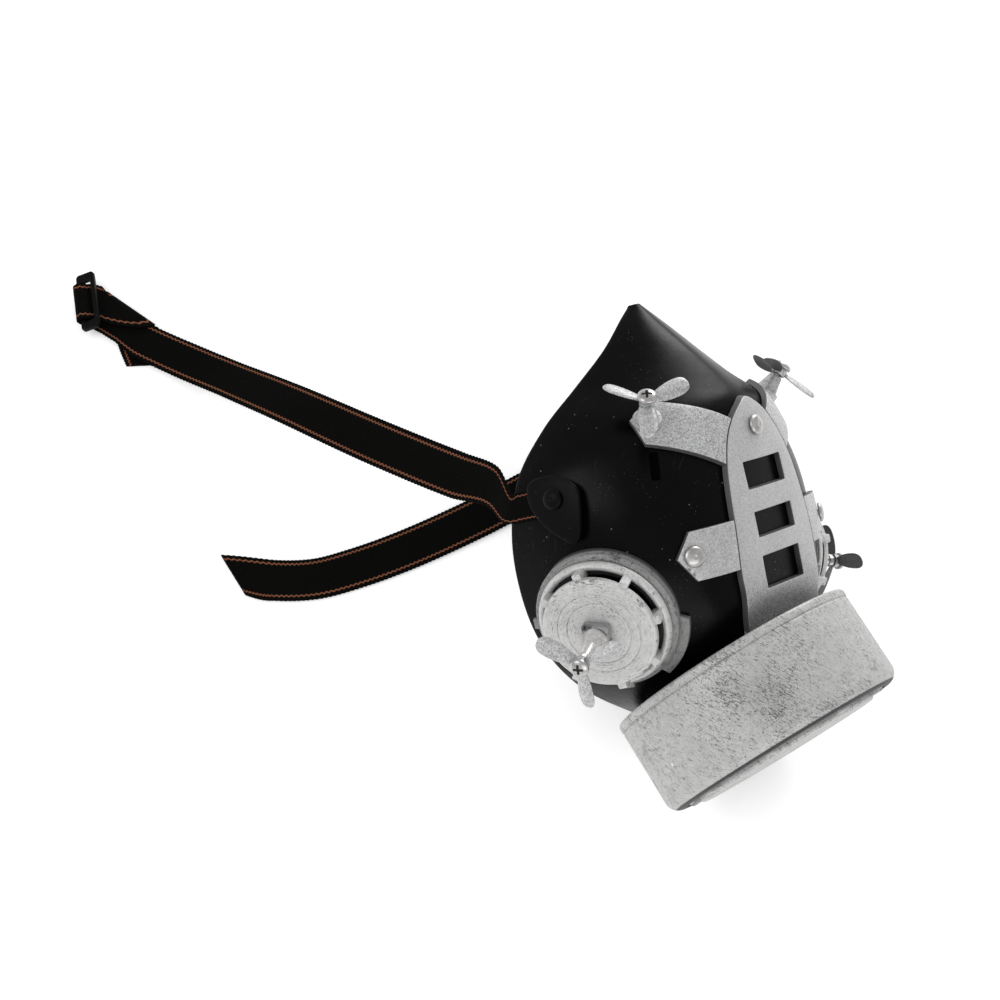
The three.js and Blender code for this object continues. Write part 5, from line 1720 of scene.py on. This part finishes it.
# Ways of the straps past the rim: away and aside are shares of a strap's run, height of the rim's
# height, wide of the strap's width, and flat says how far its face has turned to level.
RIGHT_WAY = [
    (0.032, 0.063, 0.94, 0.86, 0.05), (0.104, 0.12, 0.81, 1, 0.15), (0.274, 0.251, 0.576, 1, 0.45),
    (0.489, 0.42, 0.3, 1, 0.8), (0.627, 0.524, 0.123, 1, 1), (0.737, 0.594, 0.036, 1, 1),
]
LEFT_WAY = [
    (0.05, 0.022, 0.7, 0.8, 0.3), (0.13, 0.038, 0.32, 1, 0.75), (0.22, 0.03, 0.06, 1, 1),
    (0.318, -0.005, 0, 1, 1), (0.479, -0.098, 0, 1, 1), (0.632, -0.176, 0, 1, 1),
    (0.739, -0.22, 0, 1, 1), (0.826, -0.246, 0, 1, 1), (0.915, -0.25, 0, 1, 1),
]
LEFT_END = (1, -0.239)
LEFT_SLANT = 0.6


def off_shell(rim, table, run):
    middle, face, _ = rim
    level = at(0, 0, math.copysign(1, face[2]))
    return [
        (at(middle[0] - away * run, middle[1] + aside * run,
            max(height * middle[2], STRAP_THICKNESS / 2)),
         unit(face * (1 - flat) + level * flat), wide * STRAP_WIDTH)
        for away, aside, height, wide, flat in table
    ]


def along_faces(places):
    """Rows of middle, direction across and width, square to the way and to each place's face."""
    made = []
    for i, (middle, face, width) in enumerate(places):
        way = places[min(i + 1, len(places) - 1)][0] - places[max(i - 1, 0)][0]
        made.append((middle, unit(np.cross(way, face)), width))
    return made


def left_rows():
    shell = on_shell(-1)
    rim = shell[-1]
    rows = along_faces(shell + off_shell(rim, LEFT_WAY, LEFT_STRAP_RUN))
    middle = at(rim[0][0] - LEFT_END[0] * LEFT_STRAP_RUN, rim[0][1] + LEFT_END[1] * LEFT_STRAP_RUN,
                STRAP_THICKNESS / 2)
    across = rows[-1][1]
    across = across + at(-LEFT_SLANT * math.copysign(1, across[1]), 0, 0)
    rows.append((middle, unit(across), STRAP_WIDTH * math.hypot(1, LEFT_SLANT)))
    return rows


# The slider's frame: origin on the floor under its far bar, X towards the mask.
LAYER = STRAP_THICKNESS + LAYER_GAP
TAIL_LAYER = STRAP_THICKNESS / 2
MAIN_LAYER = TAIL_LAYER + LAYER
RETURN_LAYER = MAIN_LAYER + LAYER
TURN_RADIUS = BAR_WIDTH / math.sqrt(2) + LAYER_GAP + STRAP_THICKNESS / 2
BAR_HEIGHT = MAIN_LAYER + TURN_RADIUS
SLIDER_SPOT = (1, 0.743)


def slider_frame():
    middle = on_shell(1)[-1][0]
    made = turn_about("Z", SLIDER_TURN)
    made[:3, 3] = (middle[0] - SLIDER_SPOT[0] * RIGHT_STRAP_RUN,
                   middle[1] + SLIDER_SPOT[1] * RIGHT_STRAP_RUN, 0)
    return made


# The right strap's end: it runs under the slider, turns round the far bar, comes back under the
# near bar and is folded over its own edge. x and y are shares of its half width, turn is the angle
# of its width from Y, and wide a share of its width.
ENTRY_WAY = [(2.62, -2.44, 42, 0.96), (1.68, -1.57, 35, 0.76), (0.99, -0.93, 23, 0.77),
             (0.42, -0.39, 9, 0.9)]
BEFORE_FOLD = (0.88, -0.08, 4, 1)
FOLD = (2.09, -0.67, -42, 1.55)
TAIL_WAY = [(2.36, -2.16, -100, 1), (2.63, -3.67, -82, 1)]
HALF_TURN = [0, 45, 90, 135, 180]


def right_rows():
    place = slider_frame()
    half = STRAP_WIDTH / 2
    near_x = SLIDER_PITCH * math.cos(math.radians(SLIDER_TILT))
    near_z = BAR_HEIGHT + SLIDER_PITCH * math.sin(math.radians(SLIDER_TILT)) - TURN_RADIUS

    def row(x, y, turn, wide, z):
        angle = math.radians(turn)
        return (placed(place, at(x * half, y * half, z)),
                place[:3, :3] @ at(math.sin(angle), math.cos(angle), 0), wide * STRAP_WIDTH)

    def straight(x, z):
        return row(x / half, 0, 0, 1, z)

    rows = [row(*spot, MAIN_LAYER) for spot in ENTRY_WAY]
    for turn in HALF_TURN:
        angle = math.radians(turn)
        rows.append(straight(-TURN_RADIUS * math.sin(angle),
                             BAR_HEIGHT - TURN_RADIUS * math.cos(angle)))
    rows += [straight(near_x / 2, (BAR_HEIGHT + TURN_RADIUS + near_z) / 2),
             straight(near_x, near_z), row(*BEFORE_FOLD, RETURN_LAYER)]
    for turn in HALF_TURN:
        angle = math.radians(turn)
        out = LAYER / half * math.sin(angle)
        x = FOLD[0] + out * math.cos(math.radians(FOLD[2]))
        y = FOLD[1] - out * math.sin(math.radians(FOLD[2]))
        rows.append(row(x, y, FOLD[2], FOLD[3], MAIN_LAYER + LAYER * math.cos(angle)))
    rows += [row(*spot, TAIL_LAYER) for spot in TAIL_WAY]
    shell = on_shell(1)
    way = off_shell(shell[-1], RIGHT_WAY, RIGHT_STRAP_RUN)
    return along_faces(shell + way) + rows


def strap_body(rows, scallop_pitch, scallop_depth):
    """A band through rows with rounded, scalloped edges. Returns the body, the place of each point
    along and across the band, and the band's length."""
    middles = np.array([row[0] for row in rows])
    last = len(rows) - 1
    fine = np.linspace(0, 1, 120 * last + 1)
    line = np.array([curve_point(middles, t) for t in fine])
    line[:, 2] = np.maximum(line[:, 2], STRAP_THICKNESS / 2)
    length = np.concatenate([[0], np.cumsum(np.linalg.norm(np.diff(line, axis=0), axis=1))])
    count = int(length[-1] / 0.42)
    steps = np.interp(np.linspace(0, length[-1], count), length, fine)
    places = np.linspace(0, length[-1], count)
    corner = 0.42 * STRAP_THICKNESS
    flat = np.linspace(-1, 1, 17)
    loops, values = [], []
    for t, along in zip(steps, places):
        spot = t * last
        i = min(int(spot), last - 1)
        share = spot - i
        middle = curve_point(middles, t)
        middle[2] = max(middle[2], STRAP_THICKNESS / 2)
        ahead = curve_point(middles, min(t + 1e-4, 1)) - curve_point(middles, max(t - 1e-4, 0))
        across = unit(rows[i][1] * (1 - share) + rows[i + 1][1] * share)
        face = unit(np.cross(ahead, across))
        width = rows[i][2] * (1 - share) + rows[i + 1][2] * share
        wave = scallop_depth * (0.5 - 0.5 * math.cos(2 * math.pi * along / scallop_pitch))
        half = width / 2 - wave
        thick = STRAP_THICKNESS / 2
        top = [((width / 2 - 0.9) * x, thick * (0.94 + 0.06 * abs(x))) for x in flat]
        rim = [(half - corner * (1 - math.sin(a)), thick - corner * (1 - math.cos(a)))
               for a in np.linspace(0, math.pi / 2, 4)]
        section = (top + rim + [(x, -z) for x, z in (top + rim)[::-1]]
                   + [(-x, -z) for x, z in rim] + [(-x, z) for x, z in rim[::-1]])
        for x, z in section:
            loops.append(middle + across * x + face * z)
            values.append((along, x / width * STRAP_WIDTH, z))
    width = len(section)
    points = np.array(loops)
    points[:, 2] = np.maximum(points[:, 2], 0.0)
    faces = grid_faces(count, width, close_columns=True)
    faces += [tuple(range(width))[::-1], tuple(range(len(points) - width, len(points)))]
    return (points, faces), np.array(values), length[-1]


class MASK_OT_straps(bpy.types.Operator):
    """Adds the two elastic straps"""

    bl_idname = "mask.straps"
    bl_label = "Straps"

    def execute(self, context):
        sizes = context.scene.mask_sizes
        for name, rows, held, rests in (
            ("strap_right", right_rows(), "hung", ["strap_tab_right_dressed", "slider_dressed"]),
            ("strap_left", left_rows(), "laid", ["strap_tab_left_dressed"]),
        ):
            body, values, length = strap_body(rows, sizes.scallop_pitch * METRE,
                                              sizes.scallop_depth * METRE)
            made = make(name, [body], finish(context, "woven_elastic"), on_floor=True,
                        values={"place": values}, sharp=70)
        return {"FINISHED"}


class MASK_OT_slider(bpy.types.Operator):
    """Adds the black slider at the end of the right strap"""

    bl_idname = "mask.slider"
    bl_label = "Slider"

    def execute(self, context):
        outer_x, outer_y = (SLIDER_PITCH + BAR_WIDTH) / 2, SLIDER_WIDTH / 2
        inner_x, inner_y = (SLIDER_PITCH - BAR_WIDTH) / 2, (STRAP_WIDTH + 4 * LAYER_GAP) / 2
        corners = [(1, 1), (-1, 1), (-1, -1), (1, -1)]

        def ring(x, y, radius):
            made = []
            for k, (sx, sy) in enumerate(corners):
                centre = np.array([sx * (x - radius), sy * (y - radius)])
                for angle in np.radians(np.linspace(90 * k, 90 * k + 90, 9)):
                    made.append(centre + radius * np.array([math.cos(angle), math.sin(angle)]))
            return np.array(made)

        outside, within = ring(outer_x, outer_y, 1.6), ring(inner_x, inner_y, 0.6)
        section = eased([(0, -1), (1, -1), (1, 1), (0, 1)], 0.3, 3, True)
        loops = []
        for share, height in section:
            flat = within * (1 - share) + outside * share
            loops.append(np.column_stack([flat, np.full(len(flat), height * BAR_WIDTH / 2)]))
        points = np.vstack(loops) + at(SLIDER_PITCH / 2, 0, 0)
        matrix = slider_frame() @ lift(BAR_HEIGHT) @ turn_about("Y", -SLIDER_TILT)
        faces = grid_faces(len(loops), len(outside), close_rows=True, close_columns=True)
        make("slider", moved(matrix, (points, faces)), finish(context, "satin_black"),
             on_floor=True, local=matrix)
        return {"FINISHED"}


# Stage

# The photograph's viewing angle: where the camera stands, and its right, up and backward axes.
CAMERA_METRES = (0.0049, -0.2575, 0.6025)
CAMERA_FORWARD = at(0.0254, 0.4160, -0.9090)
CAMERA_RIGHT = at(0.9996, 0, 0.0279)


def area_light(name, place, target, power, size):
    data = bpy.data.lights.new(name, "AREA")
    data.shape = "RECTANGLE"
    data.energy = power
    data.size, data.size_y = size
    found = bpy.data.objects.new(name, data)
    bpy.context.scene.collection.objects.link(found)
    found.location = place
    found.rotation_mode = "QUATERNION"
    found.rotation_quaternion = (Vector(target) - Vector(place)).to_track_quat("-Z", "Y")


class MASK_OT_stage(bpy.types.Operator):
    """Adds the pale floor, the soft lights and the camera"""

    bl_idname = "mask.stage"
    bl_label = "Stage"

    def execute(self, context):
        stage = context.scene.mask_stage
        radius, count = 4.0, 96
        ring = [(radius * math.cos(a), radius * math.sin(a), -0.0002)
                for a in np.linspace(0, 2 * math.pi, count, endpoint=False)]
        mesh = bpy.data.meshes.new("floor")
        mesh.from_pydata(ring, [], [tuple(range(count))])
        mesh.materials.append(floor_finish(stage))
        floor = bpy.data.objects.new("floor", mesh)
        context.scene.collection.objects.link(floor)
        world = bpy.data.worlds.new("studio")
        world.use_nodes = True
        sky = world.node_tree.nodes["Background"]
        sky.inputs["Color"].default_value = (1.0, 1.0, 1.0, 1.0)
        sky.inputs["Strength"].default_value = stage.sky
        context.scene.world = world
        target = (0.06, 0.0, 0.06)
        area_light("back", (0.6, 1.15, 0.42), target, stage.back, (0.5, 0.45))
        area_light("side", (-1.2, -0.2, 1.4), target, stage.side, (0.9, 0.9))
        area_light("front", (0.5, -1.4, 0.9), target, stage.front, (1.4, 0.7))
        data = bpy.data.cameras.new("camera")
        data.sensor_width = 36
        data.lens = stage.lens
        camera = bpy.data.objects.new("camera", data)
        context.scene.collection.objects.link(camera)
        back = -unit(CAMERA_FORWARD)
        right = unit(CAMERA_RIGHT - back * (CAMERA_RIGHT @ back))
        turn = Matrix(np.column_stack([right, np.cross(back, right), back]).tolist())
        camera.matrix_world = Matrix.Translation(CAMERA_METRES) @ turn.to_4x4()
        data.clip_start, data.clip_end = 0.01, 20
        context.scene.camera = camera
        context.scene.view_settings.view_transform = "Standard"
        return {"FINISHED"}


# Settings


class MaskSizes(bpy.types.PropertyGroup):
    """Sizes that a user would change"""

    rim_round: FloatProperty(
        name="Rim rounding", description="Rounding of the sheet pieces' upper rims",
        default=0.00035, min=0.0001, max=0.0008, unit="LENGTH")
    outer_groove: FloatProperty(
        name="Outer groove", description="Radius of the outer groove on the canister caps",
        default=0.0146, min=0.012, max=0.018, unit="LENGTH")
    inner_groove: FloatProperty(
        name="Inner groove", description="Radius of the inner groove on the canister caps",
        default=0.0112, min=0.008, max=0.0115, unit="LENGTH")
    blade_cup: FloatProperty(
        name="Blade cup", description="How far the propeller blades are cupped",
        default=0.00045, min=0.0, max=0.001, unit="LENGTH")
    scallop_pitch: FloatProperty(
        name="Scallop pitch", description="Distance between the loops along the straps' edges",
        default=0.0017, min=0.001, max=0.004, unit="LENGTH")
    scallop_depth: FloatProperty(
        name="Scallop depth", description="Depth of the loops along the straps' edges",
        default=0.00032, min=0.0, max=0.001, unit="LENGTH")
    stripe_inset: FloatProperty(
        name="Stripe inset", description="Distance of the copper threads from the straps' edges",
        default=0.0021, min=0.001, max=0.006, unit="LENGTH")
    zigzag_pitch: FloatProperty(
        name="Zigzag pitch", description="Length of one zigzag of the copper threads, in millimetres",
        default=1.9, min=0.5, max=6.0)
    grain: FloatProperty(
        name="Paint grain", description="Grain size of the silver paint, as a factor",
        default=1.0, min=0.3, max=3.0, subtype="FACTOR")
    dust: FloatProperty(
        name="Dust", description="Amount of dust on the black pieces",
        default=1.0, min=0.0, max=2.0, subtype="FACTOR")
    wear: FloatProperty(
        name="Wear", description="Amount of black dry brushing on the worn silver",
        default=1.0, min=0.0, max=2.0, subtype="FACTOR")


def colour_property(name, description, default):
    return FloatVectorProperty(name=name, description=description, default=default, size=3,
                               min=0.0, max=1.0, subtype="COLOR")


class MaskColours(bpy.types.PropertyGroup):
    """Colours that a user would change"""

    black: colour_property("Black", "Colour of the black moulded pieces", (0.0015, 0.0015, 0.0017))
    silver: colour_property("Silver", "Colour of the plate, arms and tabs", (0.4, 0.4, 0.405))
    worn_silver: colour_property("Worn silver", "Colour of the drum and canisters",
                                 (0.46, 0.46, 0.455))
    bright: colour_property("Bright metal", "Colour of the rivets, screws and spikes",
                            (0.47, 0.46, 0.455))
    dark_metal: colour_property("Dark metal", "Colour of the bosses", (0.09, 0.09, 0.1))
    elastic: colour_property("Elastic", "Colour of the straps", (0.003, 0.0028, 0.0025))
    copper: colour_property("Copper thread", "Colour of the zigzag threads", (0.26, 0.1, 0.055))


class MaskStage(bpy.types.PropertyGroup):
    """Settings of the floor, the lights and the camera"""

    floor: colour_property("Floor", "Colour of the floor", (0.97, 0.97, 0.97))
    glow: FloatProperty(name="Floor glow", description="Light that the floor itself gives off",
                        default=0.3, min=0.0)
    back: FloatProperty(name="Back light", description="Power of the light behind the nose",
                        default=9.0, min=0.0, unit="POWER")
    side: FloatProperty(name="Side light", description="Power of the light over the straps",
                        default=8.0, min=0.0, unit="POWER")
    front: FloatProperty(name="Front light", description="Power of the low light before the drum",
                         default=7.0, min=0.0, unit="POWER")
    sky: FloatProperty(name="Sky", description="Strength of the even light from all round",
                       default=0.65, min=0.0)
    lens: FloatProperty(name="Lens", description="Focal length of the camera in millimetres",
                        default=57.6, min=10.0, unit="CAMERA")


OPERATORS = [
    MASK_OT_stage, MASK_OT_shell, MASK_OT_trim, MASK_OT_strap_tabs, MASK_OT_rivets, MASK_OT_drum,
    MASK_OT_canisters, MASK_OT_spikes, MASK_OT_standoffs, MASK_OT_propellers, MASK_OT_screws,
    MASK_OT_slider, MASK_OT_straps,
]


class VIEW3D_PT_costume_mask(bpy.types.Panel):
    """Lists the pieces of the mask and their settings"""

    bl_label = "Costume gas mask"
    bl_idname = "VIEW3D_PT_costume_mask"
    bl_space_type = "VIEW_3D"
    bl_region_type = "UI"
    bl_category = "Mask"

    def draw(self, context):
        for operator in OPERATORS:
            self.layout.operator(operator.bl_idname)
        for group in (context.scene.mask_sizes, context.scene.mask_colours,
                      context.scene.mask_stage):
            box = self.layout.box()
            for key in group.__annotations__:
                box.prop(group, key)


CLASSES = [MaskSizes, MaskColours, MaskStage, *OPERATORS, VIEW3D_PT_costume_mask]


def register():
    for group in CLASSES:
        bpy.utils.register_class(group)
    bpy.types.Scene.mask_sizes = PointerProperty(type=MaskSizes)
    bpy.types.Scene.mask_colours = PointerProperty(type=MaskColours)
    bpy.types.Scene.mask_stage = PointerProperty(type=MaskStage)


def unregister():
    del bpy.types.Scene.mask_sizes, bpy.types.Scene.mask_colours, bpy.types.Scene.mask_stage
    for group in reversed(CLASSES):
        bpy.utils.unregister_class(group)


def main():
    register()
    for operator in OPERATORS:
        group, name = operator.bl_idname.split(".")
        getattr(getattr(bpy.ops, group), name)()


if __name__ == "__main__":
    main()
